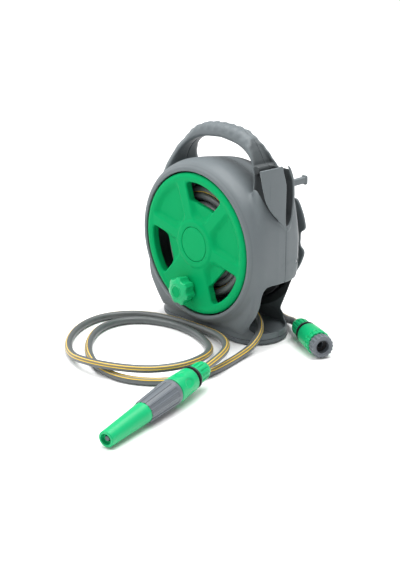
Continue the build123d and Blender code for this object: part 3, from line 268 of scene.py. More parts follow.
def moulded(name, colour, dark, roughness, grain_mm=0.9, grain_depth=0.04, coat=0.0, gloss=0.35, inner=1.0):
    """Injection-moulded plastic: fine spark-eroded grain, faint flow marks and slightly paler rubbed edges.

    inner is the tone of painted shade on the walls round the reel and in the nozzle well, standing in for their
    shade.
    """
    colour, dark = linear(colour), linear(dark)
    material, tree, shader = new_material(name)
    if tree is None:
        return material
    place = add_node(tree, "ShaderNodeTexCoord").outputs["Object"]
    flow = add_node(tree, "ShaderNodeTexNoise", inputs={
        "Vector": place, "Scale": 1 / (60 * MM), "Detail": 3.0, "Roughness": 0.5})
    rubbed = add_node(tree, "ShaderNodeMapRange", inputs={
        "Value": add_node(tree, "ShaderNodeNewGeometry").outputs["Pointiness"],
        "From Min": 0.52, "From Max": 0.60, "To Min": 0.0, "To Max": 0.35})
    speck = add_node(tree, "ShaderNodeTexNoise", inputs={
        "Vector": place, "Scale": 1 / (9 * MM), "Detail": 5.0, "Roughness": 0.65})
    tone = add_node(tree, "ShaderNodeMix", {"data_type": "RGBA"}, {
        0: flow, 6: (*dark, 1), 7: (*colour, 1)})
    pale = tuple(min(1.0, c * 1.5 + 0.02) for c in colour)
    edge = add_node(tree, "ShaderNodeMath", {"operation": "MULTIPLY"}, {
        0: rubbed, 1: speck})
    worn = add_node(tree, "ShaderNodeMix", {"data_type": "RGBA"}, {
        0: edge, 6: tone.outputs[2], 7: (*pale, 1)})
    shade = worn.outputs[2]
    # painted shade: drum walls and the nozzle well are darkened to inner times the colour, for the shade inside
    if inner < 1:
        flat = add_node(tree, "ShaderNodeVectorMath", {"operation": "MULTIPLY"}, {0: place, 1: (1, 0, 1)})
        radius = add_node(tree, "ShaderNodeVectorMath", {"operation": "DISTANCE"}, {
            0: flat, 1: (0, 0, AXIS_Z * MM)})
        within = add_node(tree, "ShaderNodeMapRange", inputs={
            "Value": radius.outputs["Value"], "From Min": 113 * MM, "From Max": 115 * MM,
            "To Min": 1.0, "To Max": 0.0})
        depth = add_node(tree, "ShaderNodeSeparateXYZ", inputs={0: place})
        ahead = add_node(tree, "ShaderNodeMapRange", inputs={
            "Value": depth.outputs[1], "From Min": (FACE_Y + 2) * MM, "From Max": (FACE_Y + 6) * MM})
        behind = add_node(tree, "ShaderNodeMapRange", inputs={
            "Value": depth.outputs[1], "From Min": (BACK_Y - 8) * MM, "From Max": (BACK_Y - 2) * MM,
            "To Min": 1.0, "To Max": 0.0})
        between = add_node(tree, "ShaderNodeMath", {"operation": "MULTIPLY"}, {
            0: ahead, 1: behind})
        drum_shade_mask = add_node(tree, "ShaderNodeMath", {"operation": "MULTIPLY"}, {
            0: within, 1: between})
        well = add_node(tree, "ShaderNodeAttribute", {"attribute_name": "well"})
        painted_shade_mask = add_node(tree, "ShaderNodeMath", {"operation": "MAXIMUM"}, {
            0: drum_shade_mask, 1: well.outputs["Fac"]})
        shade = add_node(tree, "ShaderNodeMix", {"data_type": "RGBA"}, {
            0: painted_shade_mask, 6: shade, 7: (*[c * inner for c in colour], 1)}).outputs[2]
    rough = add_node(tree, "ShaderNodeMapRange", inputs={
        "Value": speck, "From Min": 0.3, "From Max": 0.7,
        "To Min": roughness - 0.04, "To Max": roughness + 0.05})
    grain = add_node(tree, "ShaderNodeTexNoise", inputs={
        "Vector": place, "Scale": 1 / (grain_mm * MM), "Detail": 2.0})
    bump = add_node(tree, "ShaderNodeBump", inputs={
        "Height": grain, "Strength": 0.5, "Distance": grain_depth * MM})
    set_inputs(tree, shader, {
        "Base Color": shade, "Roughness": rough, "Normal": bump, "IOR": 1.49, "Specular IOR Level": gloss,
        "Coat Weight": coat, "Coat Roughness": 0.25})
    return material


# The grain is drawn at 0.7 to 1.2 mm where the real one is about 0.2 mm, so that it shows as a faint sheen break.
FINISHES = {
    # Moulded polypropylene, spark-eroded finish: a satin mid grey with a soft broad highlight.
    # inner=0.25 draws the walls round the reel and in the nozzle well at a quarter of the colour: painted shade
    "grey shell": dict(name="polypropylene_moulded_grey", colour="#656C6F", dark="#5E6568", roughness=0.48,
                       inner=0.25),
    # The same in a darker grey, for the base.
    "dark shell": dict(name="polypropylene_moulded_dark", colour="#5A6064", dark="#54595D", roughness=0.5),
    # The same in leaf green: even and slightly waxy, with next to no highlight.
    "green disc": dict(name="polypropylene_moulded_green", colour="#009B5C", dark="#009557", roughness=0.5,
                       grain_depth=0.025, gloss=0.05),
    # Moulded ABS in a lighter green: smooth, with a clear narrow highlight.
    "green fitting": dict(name="abs_moulded_green", colour="#14B070", dark="#10A768", roughness=0.36, grain_mm=0.7,
                          grain_depth=0.02, coat=0.05, gloss=0.25),
    # Moulded ABS in grey: a shade bluer and glossier than the shells.
    "grey fitting": dict(name="abs_moulded_grey", colour="#666C72", dark="#5F656B", roughness=0.38, grain_mm=0.7,
                         grain_depth=0.02, coat=0.05),
    # Moulded recycled polypropylene, near black and dull.
    "black core": dict(name="polypropylene_moulded_black", colour="#242628", dark="#1D1F21", roughness=0.6),
    # Moulded EPDM rubber: black, matt, slightly dusty.
    "seal rubber": dict(name="epdm_rubber_moulded", colour="#1B1B1C", dark="#151516", roughness=0.72, grain_mm=1.2,
                        grain_depth=0.05),
    # Moulded acetal of the axle and bush: off-white, waxy.
    "acetal": dict(name="acetal_moulded_natural", colour="#D6D6D0", dark="#CBCBC4", roughness=0.38, grain_mm=0.7,
                   grain_depth=0.02),
}


def finish(kind):
    """Material for one kind of finish; the only one that isn't moulded is zinc."""
    return zinc_steel() if kind == "zinc" else moulded(**FINISHES[kind])


def zinc_steel():
    """Zinc-plated steel of screws, clip and pin: bright with fine brushed scatter."""
    material, tree, shader = new_material("steel_zinc_plated")
    if tree is None:
        return material
    place = add_node(tree, "ShaderNodeTexCoord").outputs["Object"]
    scuff = add_node(tree, "ShaderNodeTexNoise", inputs={"Vector": place, "Scale": 1 / (0.8 * MM), "Detail": 4.0})
    tone = add_node(tree, "ShaderNodeMix", {"data_type": "RGBA"}, {
        0: scuff, 6: (*linear("#A9ACAE"), 1), 7: (*linear("#C9CBCC"), 1)})
    rough = add_node(tree, "ShaderNodeMapRange", inputs={"Value": scuff, "To Min": 0.25, "To Max": 0.42})
    bump = add_node(tree, "ShaderNodeBump", inputs={
        "Height": scuff, "Strength": 0.4, "Distance": 0.03 * MM})
    set_inputs(tree, shader, {"Base Color": tone.outputs[2], "Roughness": rough, "Normal": bump, "Metallic": 1.0})
    return material


STRIPES = ((-1.9, 1.0, 1.0), (1.9, 1.0, 1.0), (0.0, 2.8, 0.12))     # centre and width in mm, and strength


def hose_pvc():
    """Extruded PVC hose: satin grey, braid showing faintly through, with yellow pinstripes along one side."""
    material, tree, shader = new_material("pvc_hose_extruded")
    if tree is None:
        return material
    hose = bpy.context.scene.reel_hose
    lay = add_node(tree, "ShaderNodeAttribute", {"attribute_name": "lay"})
    axes = add_node(tree, "ShaderNodeSeparateXYZ", inputs={0: lay.outputs["Vector"]})
    angle = add_node(tree, "ShaderNodeMath", {"operation": "ARCTAN2"}, {0: axes.outputs[1], 1: axes.outputs[0]})
    round_mm = add_node(tree, "ShaderNodeMath", {"operation": "MULTIPLY"}, {
        0: angle, 1: hose.diameter / MM / 2})
    total = None
    for centre, width, strength in STRIPES:
        off = add_node(tree, "ShaderNodeMath", {"operation": "SUBTRACT"}, {0: round_mm, 1: centre})
        away = add_node(tree, "ShaderNodeMath", {"operation": "ABSOLUTE"}, {0: off})
        line = add_node(tree, "ShaderNodeMapRange", inputs={
            "Value": away, "From Min": width / 2 - 0.08, "From Max": width / 2 + 0.08,
            "To Min": strength, "To Max": 0.0})
        if total is None:
            total = line
        else:
            total = add_node(tree, "ShaderNodeMath", {"operation": "MAXIMUM"}, {
                0: total, 1: line})
    place = add_node(tree, "ShaderNodeTexCoord").outputs["Object"]
    mottle = add_node(tree, "ShaderNodeTexNoise", inputs={"Vector": place, "Scale": 1 / (14 * MM), "Detail": 4.0})
    wall = add_node(tree, "ShaderNodeMix", {"data_type": "RGBA"}, {
        0: mottle, 6: (*linear("#4E5253"), 1), 7: (*linear("#5B5F60"), 1)})
    colour = add_node(tree, "ShaderNodeMix", {"data_type": "RGBA"}, {
        0: total, 6: wall.outputs[2], 7: (*hose.stripe, 1)})
    # the braid, two sets of threads 3 mm apart, is felt through the wall as a faint lattice
    threads = []
    for turn in (1, -1):
        phase = add_node(tree, "ShaderNodeMath", {"operation": "MULTIPLY_ADD"}, {
            0: angle, 1: 8.0 * turn,
            2: add_node(tree, "ShaderNodeMath", {"operation": "MULTIPLY"}, {
                0: axes.outputs[2], 1: 2 * math.pi / (3.2 * MM)})})
        threads.append(add_node(tree, "ShaderNodeMath", {"operation": "SINE"}, {0: phase}))
    braid = add_node(tree, "ShaderNodeMath", {"operation": "MAXIMUM"}, {0: threads[0], 1: threads[1]})
    bump = add_node(tree, "ShaderNodeBump", inputs={
        "Height": braid, "Strength": 0.25, "Distance": 0.014 * MM})
    rough = add_node(tree, "ShaderNodeMapRange", inputs={
        "Value": mottle, "To Min": 0.30, "To Max": 0.46})
    set_inputs(tree, shader, {"Base Color": colour.outputs[2], "Roughness": rough, "Normal": bump, "IOR": 1.53})
    return material


# ------------------------------------------------------------------ settings a user would change
class HousingSettings(bpy.types.PropertyGroup):
    wall: bpy.props.FloatProperty(name="Wall", description="Wall of the two shells", default=2.8 * MM,
                                  unit="LENGTH")
    fillet: bpy.props.FloatProperty(name="Fillet", description="Blend where drum, columns and foot meet",
                                    default=9.0 * MM, unit="LENGTH")
    grid: bpy.props.FloatProperty(name="Grid", description="Grid that the shells are sampled on",
                                  default=1.15 * MM, unit="LENGTH")


class DiscSettings(bpy.types.PropertyGroup):
    recess: bpy.props.FloatProperty(name="Recess", description="Depth of the five pockets between the spokes",
                                    default=6.0 * MM, unit="LENGTH")
    spoke: bpy.props.FloatProperty(name="Spoke", description="Width of a spoke at the face",
                                   default=15.0 * MM, unit="LENGTH")
    grid: bpy.props.FloatProperty(name="Grid", description="Grid that the disc is sampled on",
                                  default=0.75 * MM, unit="LENGTH")


class HoseSettings(bpy.types.PropertyGroup):
    diameter: bpy.props.FloatProperty(name="Diameter", description="Outside diameter of the hose",
                                      default=11.0 * MM, unit="LENGTH")
    stripe: bpy.props.FloatVectorProperty(name="Stripe", description="Colour of the pinstripes", size=3,
                                          subtype="COLOR", default=linear("#F0C62E"))


class StageSettings(bpy.types.PropertyGroup):
    lens: bpy.props.FloatProperty(name="Lens", description="Focal length of the camera in mm", default=82.1)
    light: bpy.props.FloatProperty(name="Light", description="Strength of the softboxes", default=1.0)


# ------------------------------------------------------------------ housing
def mirrored(points):
    """Closed outline from its right half, listed from the bottom to the top."""
    return points + [(-x, h) for x, h in reversed(points)]


DRUM_OUTLINE = (
    [(0, FACE_Y)]
    + smooth_line([(DISC_R + 6.4, FACE_Y), (DISC_R + 11.5, FACE_Y + 4.5), (118.5, -50), (121, -38), (120, -20),
                   (117, 0), (111, 32), (99, 51), (88, BACK_Y)])
    + [(0, BACK_Y)]
)
ARCH = [(0, HANDLE_TOP), (33, 164), (56, 155), (74, 143), (87, 130), (96, 112), (103, 92), (111, 70), (120, 50),
        (HALF_WIDTH, 30), (HALF_WIDTH, -30), (120, -57), (112, -79), (98, -101), (84, -118)]
COLUMN_OUTLINE = mirrored(smooth_line(ARCH)[::-1])
HAND_OPENING = mirrored([(88, 60)] + smooth_line([(88, 70), (84, 96), (76, 116), (61, 132), (36, 143), (0, 147.5)]))
COLUMN_SIDE = (
    smooth_line([(-14, 175), (-14, 158), (-16, 145), (-20, 131), (-25, 118), (-31, 102), (-37, 84), (-42, 60),
                 (-45, 30), (-49, -10), (-51, -50)])
    + [(-51, -125), (44, -125)]
    + smooth_line([(44, 40), (41, 66), (34, 88), (25, 106), (18, 125), (15, 145), (14, 158), (14, 175)])
)
COLUMN_PLAN = [(0, -64), (114, -60), (118.5, -43), (124.5, -14), (124.5, 6), (119.5, 28), (106.5, 46), (0, 64)]
COLUMN_PLAN = COLUMN_PLAN + [(-x, y) for x, y in COLUMN_PLAN[1:-1]][::-1]

HOLSTER_OUTLINE = (
    smooth_line([(-48, 128), (-43.5, 105), (-37.6, 83), (-29, 68), (-19, 57), (-8, 45), (0, 36.5)])
    + smooth_line([(4, 35), (8, 40), (13.5, 54), (16, 80), (14.5, 104), (6, 124), (-1, 130)])
)
HOLSTER_SLOT = (
    smooth_line([(-11.5, 140), (-8, 122), (-3.5, 108), (-1.6, 96), (-2, 67), (-1.5, 47), (2, 40)])
    + smooth_line([(5, 43), (10, 54), (12.8, 80), (11.3, 104), (5.5, 117), (1, 127), (-3, 140)])
)
SCOOP_OUTLINE = (
    smooth_line([(0, 156), (-10, 149), (-16.6, 142), (-23, 131), (-28, 119), (-31, 104), (-30, 84), (-20, 62),
                 (-2, 42)])
    + smooth_line([(6, 42), (12, 54), (14, 80), (14, 104), (11, 118), (8.5, 131), (7.5, 142), (4, 153)])
)
# inner wall of the nozzle well, from the top of the leg down to the point of the holster
WELL_WALL = [(52, 175), (58, 153), (68, 140), (76, 128), (84, 112), (90, 92), (98, 70), (108, 52), (117, 40),
             (HALF_WIDTH + 20, 30), (HALF_WIDTH + 20, 175)]
WELL_BACK = [(2, 33), (5.5, 40), (11, 54), (13.2, 80), (11.7, 104), (4, 122), (6.8, 122), (14.5, 104), (16, 80),
             (13.8, 54), (8, 38), (4, 31)]
WINDOW_OUTLINE = [(-43, 33), (-42, 57), (-40, 83), (-36, 91), (-30, 94), (42, 94), (42, 17.5), (-32, 17.5)]
FOOT_STRAIGHT, FOOT_R, LEDGE_Z = 64.5, 46.8, 30.0
# across, above the axis, and where the head seats; the two in the legs sit further forward
SCREW_PLACES = [(83, 118, 9.0), (-83, 118, 9.0), (-117, -5, 24.0), (117, -15, 24.0), (-62, -108, 24.0)]
SCREW_POST_R, SCREW_POST_LENGTH, SCREW_HOLE_R = 5.6, 30.0, 3.4
SCREW_OUTLINE = [(0.15, -20), (1.5, -18), (1.5, 0), (3.1, 0), (3.1, 1.3), (2.5, 2.1), (1.1, 2.3), (0.9, 1.0),
                 (0.15, 0.8)]


def housing_field(x, y, z):
    """Both shells in one, before they are parted: walls of even thickness round the reel."""
    settings = bpy.context.scene.reel_housing
    wall = settings.wall / MM
    fillet = settings.fillet / MM
    h = z - AXIS_Z
    radius = np.hypot(x, h)
    drum = turned_field(radius, y, DRUM_OUTLINE)
    arch = both(outline_field(x, h, COLUMN_OUTLINE), -outline_field(x, h, HAND_OPENING), 7)
    columns = both(arch, outline_field(y, h, COLUMN_SIDE), 10)
    columns = both(columns, outline_field(x, y, COLUMN_PLAN), 10)
    # the back corners draw in above the axis
    draw_in = np.interp(h, (15, 90, 105, 120, 131, 142, 156), (109, 96.7, 87, 76, 69, 61, 46))
    columns = both(columns, 0.715 * np.abs(x) + 0.699 * y - draw_in, 8)
    # the front corner of the left leg is cut back, as it has no holster
    front_in = np.interp(h, (40, 80, 95, 108, 122, 135, 156), (118, 91.3, 85.6, 78, 69.2, 58.4, 46))
    columns = both(columns, -0.678 * x - 0.735 * y - front_in, 6)
    # the lower part draws in towards the back
    columns = both(columns, 0.8 * (np.abs(x) - 103.5 - 0.487 * (h + 52) - 0.6 * (42 - y)), 8)
    # finger grip: shallow waves over the top half of the bar
    along = np.degrees(np.arctan2(x, h - 20))
    grip = np.clip((outline_field(x, h, HAND_OPENING) - 9) / 4, 0, 1) * np.clip((h - 120) / 10, 0, 1)
    grip = grip * np.clip((50 - np.abs(along)) / 5, 0, 1)
    columns = columns + 0.45 * grip * (1 + np.cos(np.radians(along * 60)))
    solid = either(drum, columns, 5)
    # foot: a waisted block on the oval base
    skirt = capsule_field(x, y, FOOT_STRAIGHT, FOOT_R - 1.6 * (z - PLATE_TOP) / 22)
    skirt = both(skirt, z - LEDGE_Z, 5)
    block = capsule_field(x, y, 53, 42 - 2 * (z - 17) / 38)
    block = np.maximum(block, np.maximum(z - 62, PLATE_TOP - z))
    solid = either(either(solid, block, fillet), skirt, 3.5)
    solid = np.maximum(solid, PLATE_TOP - z)
    # the nozzle well in the right leg
    side_view = outline_field(y, h, SCOOP_OUTLINE)
    well = both(outline_field(x, h, WELL_WALL), side_view, 4)
    body = without(solid, well, 3.5)
    shell = np.maximum(body, -(body + wall))
    # holster panels outside the well, open between them
    out = HALF_WIDTH - 0.9 - 0.003 * (y + 5) ** 2
    sheet = np.abs(x - (out - 1.5)) - 1.5
    panels = both(sheet, outline_field(y, h, HOLSTER_OUTLINE), 1.2)
    panels = without(panels, outline_field(y, h, HOLSTER_SLOT), 1.5)
    shell = either(shell, panels, 3)
    back = np.maximum(outline_field(y, h, WELL_BACK), np.maximum(84 - x, x - 121))
    shell = either(shell, back, 1.5)
    shell = np.maximum(shell, -(drum + wall))
    # screw posts with their sunk heads
    for across, up, seat in SCREW_PLACES:
        post = np.maximum(tube_mask(x, h, (across, up), SCREW_POST_R), seat - SCREW_POST_LENGTH - y)
        post = np.maximum(post, solid)
        shell = either(shell, np.maximum(post, -(drum + wall)), 1.5)
        shell = without(shell, np.maximum(tube_mask(x, h, (across, up), SCREW_HOLE_R), seat - y), 0.8)
    # side opening where the hose comes out
    window = both(outline_field(y, z, smooth_corners(WINDOW_OUTLINE, 5)), 52 - x, 2)
    return without(shell, window, 1.6)


def paint_well_shade(mesh):
    """Marks the inside of the nozzle well with painted shade, which the material draws as a darker tone."""
    places = np.empty(len(mesh.vertices) * 3)
    mesh.vertices.foreach_get("co", places)
    x, y, h = places.reshape(-1, 3).T / MM - np.array((0, 0, AXIS_Z))[:, None]
    well = np.maximum(outline_field(x, h, WELL_WALL), outline_field(y, h, SCOOP_OUTLINE))
    # painted shade: full on the walls of the well, fading away from them and at the outer side, weaker towards the
    # top
    painted_shade = np.clip((2.2 - well) / 2, 0, 1) * np.clip((121.6 - x) / 0.8, 0, 1) * np.interp(h, (112, 142), (1.0, 0.62))
    mesh.attributes.new("well", "FLOAT", "POINT").data.foreach_set("value", painted_shade.astype(np.float32))
    return mesh


def front_field(x, y, z):
    """Front shell: the housing ahead of the seam, open for the winding disc, with a lip round it."""
    h = z - AXIS_Z
    radius = np.hypot(x, h)
    opening = DISC_R + 1.6
    shell = without(housing_field(x, y, z), np.maximum(radius - opening, y + 40), 1.2)
    lip = turned_field(radius, y, [(opening, FACE_Y + 0.6), (opening + 0.6, FACE_Y), (opening + 3, FACE_Y),
                                   (opening + 3, FACE_Y + 13), (opening, FACE_Y + 13)])
    shell = either(shell, lip, 0.8)
    return both(shell, y + 0.08, 0.3)


RIB_COUNT = 14
GUARD_SCREWS = ((12, 49), (85, 49), (165, 49), (215, 49))


def rear_field(x, y, z):
    """Rear shell: back wall with its ribs, the bearing, and the drum that the leader hose is wound round."""
    h = z - AXIS_Z
    radius = np.hypot(x, h)
    shell = housing_field(x, y, z)
    turn = np.arctan2(h, x) - math.radians(9)
    pitch = 2 * math.pi / RIB_COUNT
    beside = np.abs(np.sin((turn + pitch / 2) % pitch - pitch / 2)) * radius - 0.8
    ribs = np.maximum(beside, np.maximum(np.abs(radius - 66) - 26, np.abs(y - (BACK_Y - 5)) - 4.6))
    drum = turned_field(radius, y, DRUM_OUTLINE)
    shell = either(shell, np.maximum(ribs, drum + 1), 1.2)
    boss = turned_field(radius, y, [(59.2, BACK_Y - 1), (62, BACK_Y - 1), (62, BOSS_Y), (59.2, BOSS_Y)])
    notch = outline_field(x, h, [(8, -50), (9, -75), (70, -60), (85, -6), (54, -6), (40, -38)])
    shell = either(shell, np.maximum(boss, -np.maximum(notch, BACK_Y + 0.2 - y)), 1.5)
    for angle, at in GUARD_SCREWS:
        a = math.radians(angle)
        post = tube_mask(x, h, (at * math.cos(a), at * math.sin(a)), 4)
        shell = either(shell, np.maximum(post, np.maximum(BACK_Y - 1 - y, y - BOSS_Y)), 1.2)
    bearing = turned_field(radius, y, [(11.5, 44), (15, 44), (15, BACK_Y + 1), (11.5, BACK_Y + 1)])
    shell = either(shell, bearing, 1.2)
    shell = np.maximum(shell, 11.5 - radius)
    return both(shell, 0.08 - y, 0.3)


GUARD_R, GUARD_ROOT_R, GUARD_LOBES = 91.5, 80.0, 7


def guard_field(x, y, z):
    """Lobed guard that keeps the leader hose on its drum, with a raised ring and sunk screw heads."""
    h = z - AXIS_Z
    radius = np.hypot(x, h)
    pitch = 2 * math.pi / GUARD_LOBES
    turn = (np.arctan2(h, x) - math.radians(24) + pitch / 2) % pitch - pitch / 2
    lobe = both(np.abs(radius * np.sin(turn)) - 25, radius - GUARD_R, 7)
    plate = both(either(lobe, radius - GUARD_ROOT_R, 6), np.abs(y - BOSS_Y - 2) - 2, 1.6)
    raised = np.minimum(np.abs(radius - 58) - 4, radius - 20)
    plate = either(plate, both(raised, np.abs(y - BOSS_Y - 4) - 2.5, 1.2), 1.5)
    for angle, at in GUARD_SCREWS:
        a = math.radians(angle)
        place = (at * math.cos(a), at * math.sin(a))
        plate = without(plate, np.maximum(tube_mask(x, h, place, 3.5), BOSS_Y + 1.8 - y), 0.5)
        plate = without(plate, tube_mask(x, h, place, 1.6), 0.2)
    return plate


PEG_AT = ((PEG_LOW + PEG_HIGH) / 2)
PEG_ROOT_Y = 15.5


def peg_field(x, y, z):
    """Peg on the back of the right leg, with a wider head that holds the end of the leader hose."""
    across, up = np.abs(x - PEG_AT[0]), np.abs(z - PEG_AT[2])
    middle, half = (PEG_HIGH[1] - 3 + PEG_ROOT_Y) / 2, (PEG_HIGH[1] - 3 - PEG_ROOT_Y) / 2
    stem = both(both(across - 3.8, up - 4.6, 2), np.abs(y - middle) - half, 1)
    head = both(both(across - 4.6, up - 6.6, 2), np.abs(y - PEG_HIGH[1] + 6.2) - 2.0, 1)
    return either(stem, head, 1.2)


def base_field(x, y, z):
    """Base under the foot, with pockets for the rubber pads."""
    slab = both(capsule_field(x, y, FOOT_STRAIGHT, FOOT_R + 0.5), np.abs(z - PLATE_MID) - PLATE_HALF, 1.6)
    for place in FEET_AT:
        slab = without(slab, np.maximum(tube_mask(x, y, place, 9.0), z - 3), 0.3)
    return slab


class HOSEREEL_OT_housing(bpy.types.Operator):
    """Mould the two shells of the housing, its base, and the guard and peg on its back"""
    bl_idname = "hosereel.housing"
    bl_label = "Housing Shells"

    def execute(self, context):
        step = context.scene.reel_housing.grid / MM
        reach = (FOOT_STRAIGHT + FOOT_R + 1, FOOT_R + 1)
        shells = (
            ("front_shell", front_field, (-HALF_WIDTH, FACE_Y, PLATE_TOP), (HALF_WIDTH, 0, SHELL_HIGH[2]),
             "front_housing"),
            ("rear_shell", rear_field, (-HALF_WIDTH, 0, PLATE_TOP), (HALF_WIDTH, BOSS_Y, SHELL_HIGH[2]),
             "rear_housing"))
        for name, field, low, high, node in shells:
            mesh = paint_well_shade(keep_large(mould(name, field, low, high, step)))
            add_piece(name, mesh, "root", finish("grey shell"), "shell", node)
        trim = (
            ("hose_guard_plate", guard_field, GUARD_LOW, GUARD_HIGH, 0.8, "grey shell", "hose_guard"),
            ("hose_peg_hook", peg_field, (PEG_LOW[0], PEG_ROOT_Y, PEG_LOW[2]), PEG_HIGH, 0.5, "grey shell",
             "hose_peg"),
            ("base_tray", base_field, (-reach[0], -reach[1], PLATE_LOW[2]), (*reach, PLATE_HIGH[2]), 0.8,
             "dark shell", "base_plate"))
        for name, field, low, high, grid, kind, node in trim:
            add_piece(name, mould(name, field, low, high, grid), "root", finish(kind), "shell_dark", node)
        add_piece("shell_screws", screws_mesh(), "root", finish("zinc"), "screw_steel", "housing_screws")
        return {"FINISHED"}


def screws_mesh():
    """Pan-head screws that hold the shells together, driven from the back."""
    work = bmesh.new()
    for across, up, seat in SCREW_PLACES:
        screw = lathed("screw", (across, seat, AXIS_Z + up), Vector((0, 1, 0)), SCREW_OUTLINE, 28)
        work.from_mesh(screw)
        bpy.data.meshes.remove(screw)
    mesh = bpy.data.meshes.new("shell_screws")
    work.to_mesh(mesh)
    work.free()
    mesh.shade_smooth()
    mesh.set_sharp_from_angle(angle=math.radians(38))
    return mesh


# ------------------------------------------------------------------ winding disc and knob
SECTORS = (78, 198, 318, 18, 138)
WINDOWS = (78, 198, 318)
POCKET_IN_R, POCKET_OUT_R = 36.5, 92.0
WINDOW_IN = 59.0


def pocket_field(x, h, angle, spoke):
    """Plan of the pocket between two spokes, and its distance along the middle line."""
    a = math.radians(angle)
    along = x * math.cos(a) + h * math.sin(a)
    across = np.abs(h * math.cos(a) - x * math.sin(a))
    radius = np.hypot(x, h)
    beside = across * math.cos(math.pi / 6) - along * math.sin(math.pi / 6) + spoke / 2
    plan = both(both(beside, radius - POCKET_OUT_R, 7), POCKET_IN_R - radius, 9)
    return plan, along


def disc_field(x, y, z):
    """Winding disc: a skin of even thickness over a soft five-pocket form, with windows through three pockets."""
    settings = bpy.context.scene.reel_disc
    recess = settings.recess / MM
    spoke = settings.spoke / MM
    h = z - AXIS_Z
    radius = np.hypot(x, h)
    proud = FACE_Y - y
    # hub plateau with a soft step at 34 mm, and a raised rounded ring near the edge
    face = 0.6 + 1.3 * np.clip((36 - radius) / 3.0, 0, 1)
    ring = np.clip((radius - 91) / 6, 0, 1)
    face = face + 0.8 * ring * ring * (3 - 2 * ring)
    edge = np.clip((radius - (DISC_R - 7)) / 7, 0, 1)
    face = face - 6.5 * (1 - np.sqrt(np.maximum(1 - edge ** 2.2, 0)))
    for angle in SECTORS:
        plan, along = pocket_field(x, h, angle, spoke)
        share = np.clip(-(plan - 1.5) / 9.0, 0, 1)
        share = share * share * (3 - 2 * share)
        face = face - share * (recess - 1.2 * np.clip((along - 40) / 45, 0, 1))
    skin = 2.8
    solid = np.maximum(proud - face, face - skin - proud)
    solid = np.maximum(solid * 0.85, radius - DISC_R + 0.8)
    rim = np.maximum(np.abs(radius - (DISC_R - 2.3)) - 1.5, np.abs(proud + 8) - 3.5)
    solid = either(solid, np.maximum(rim, proud - face), 1)
    for angle in WINDOWS:
        plan, along = pocket_field(x, h, angle, spoke)
        hole = both(plan + 1.4, WINDOW_IN - along, 2.5)
        solid = without(solid, hole, 1.2)
        frame_wall = np.maximum(np.abs(hole - 1.2) - 1.2, np.maximum(proud - face, -proud - 11))
        solid = either(solid, np.maximum(frame_wall, -hole), 0.8)
    # seat of the hub cap, axle boss and knob boss
    solid = either(solid, np.maximum(radius - 31, np.abs(proud + 2.5) - 2.5), 1)
    solid = without(solid, np.maximum(radius - 25.6, -2 - proud), 0.5)
    solid = either(solid, np.maximum(np.abs(radius - 11) - 2, np.abs(proud + 6) - 5), 1)
    a = math.radians(KNOB_ANGLE)
    at = (KNOB_RADIUS * math.cos(a), KNOB_RADIUS * math.sin(a))
    boss = np.maximum(tube_mask(x, h, at, 9), np.abs(proud + 4) - 5.0)
    solid = either(solid, boss, 3)
    return without(solid, tube_mask(x, h, at, 4.05), 0.4)


KNOB_AT = ((KNOB_LOW + KNOB_HIGH) / 2)
KNOB_ANGLE = math.degrees(math.atan2(KNOB_AT[2] - AXIS_Z, KNOB_AT[0]))
KNOB_RADIUS = math.hypot(KNOB_AT[2] - AXIS_Z, KNOB_AT[0])
KNOB_LOBES = 7
KNOB_PROUD = 1.2
KNOB_REACH, KNOB_FLARE = 19.0, 2.2
KNOB_SPARE = 2.5          # room in its grid for the lobes past the CAD outline


def knob_field(x, y, z):
    """Winding knob: seven flat-ended lobes that flare from the disc, with a shallow ring on the face."""
    u, v = x - KNOB_AT[0], z - KNOB_AT[2]
    radius = np.hypot(u, v)
    back = KNOB_HIGH[1]
    depth = KNOB_HIGH[1] - KNOB_LOW[1] + KNOB_PROUD
    share = np.clip((back - y) / depth, 0, 1)
    reach = KNOB_REACH + KNOB_FLARE * share
    pitch = 2 * math.pi / KNOB_LOBES
    turn = (np.arctan2(v, u) + pitch / 2 + 0.25) % pitch - pitch / 2
    flat_end = radius * np.cos(turn) - reach
    solid = both(flat_end, radius - reach - 0.9, 0.8)
    middle = np.abs(turn) - pitch / 2
    hollow = np.hypot(radius * np.cos(middle) - (reach + 5.2), radius * np.sin(middle)) - 8.2
    solid = without(solid, hollow, 1.2)
    front = KNOB_LOW[1] - KNOB_PROUD
    face_y = front + 0.012 * np.minimum(radius, 19) ** 2
    solid = both(solid, face_y - y, 2.6)
    solid = both(solid, y - back, 1)
    groove = np.hypot(radius - 10.6, y - front - 1.3) - 0.75
    solid = without(solid, groove, 0.6)
    solid = without(solid, np.maximum(radius - 8.1, y - KNOB_LOW[1] - 3), 0.3)
    return without(solid, radius - 4.1, 0.4)


class HOSEREEL_OT_disc(bpy.types.Operator):
    """Mould the winding disc and its knob"""
    bl_idname = "hosereel.disc"
    bl_label = "Winding Disc and Knob"

    def execute(self, context):
        step = context.scene.reel_disc.grid / MM
        low, high = DISC_LOW, (DISC_HIGH[0], FACE_Y + 14, DISC_HIGH[2])
        mesh = keep_large(mould("winding_disc_face", disc_field, low, high, step))
        add_piece("winding_disc_face", mesh, "reel", finish("green disc"), "green", "winding_disc")
        knob_high = KNOB_HIGH + (KNOB_SPARE, 0, KNOB_SPARE)
        mesh = keep_large(mould("knob_grip", knob_field, KNOB_LOW - KNOB_SPARE, knob_high, 0.5))
        add_piece("knob_grip", mesh, "knob", finish("green fitting"), "green", "winding_knob")
        return {"FINISHED"}


# ------------------------------------------------------------------ hoses
SIDES = 20


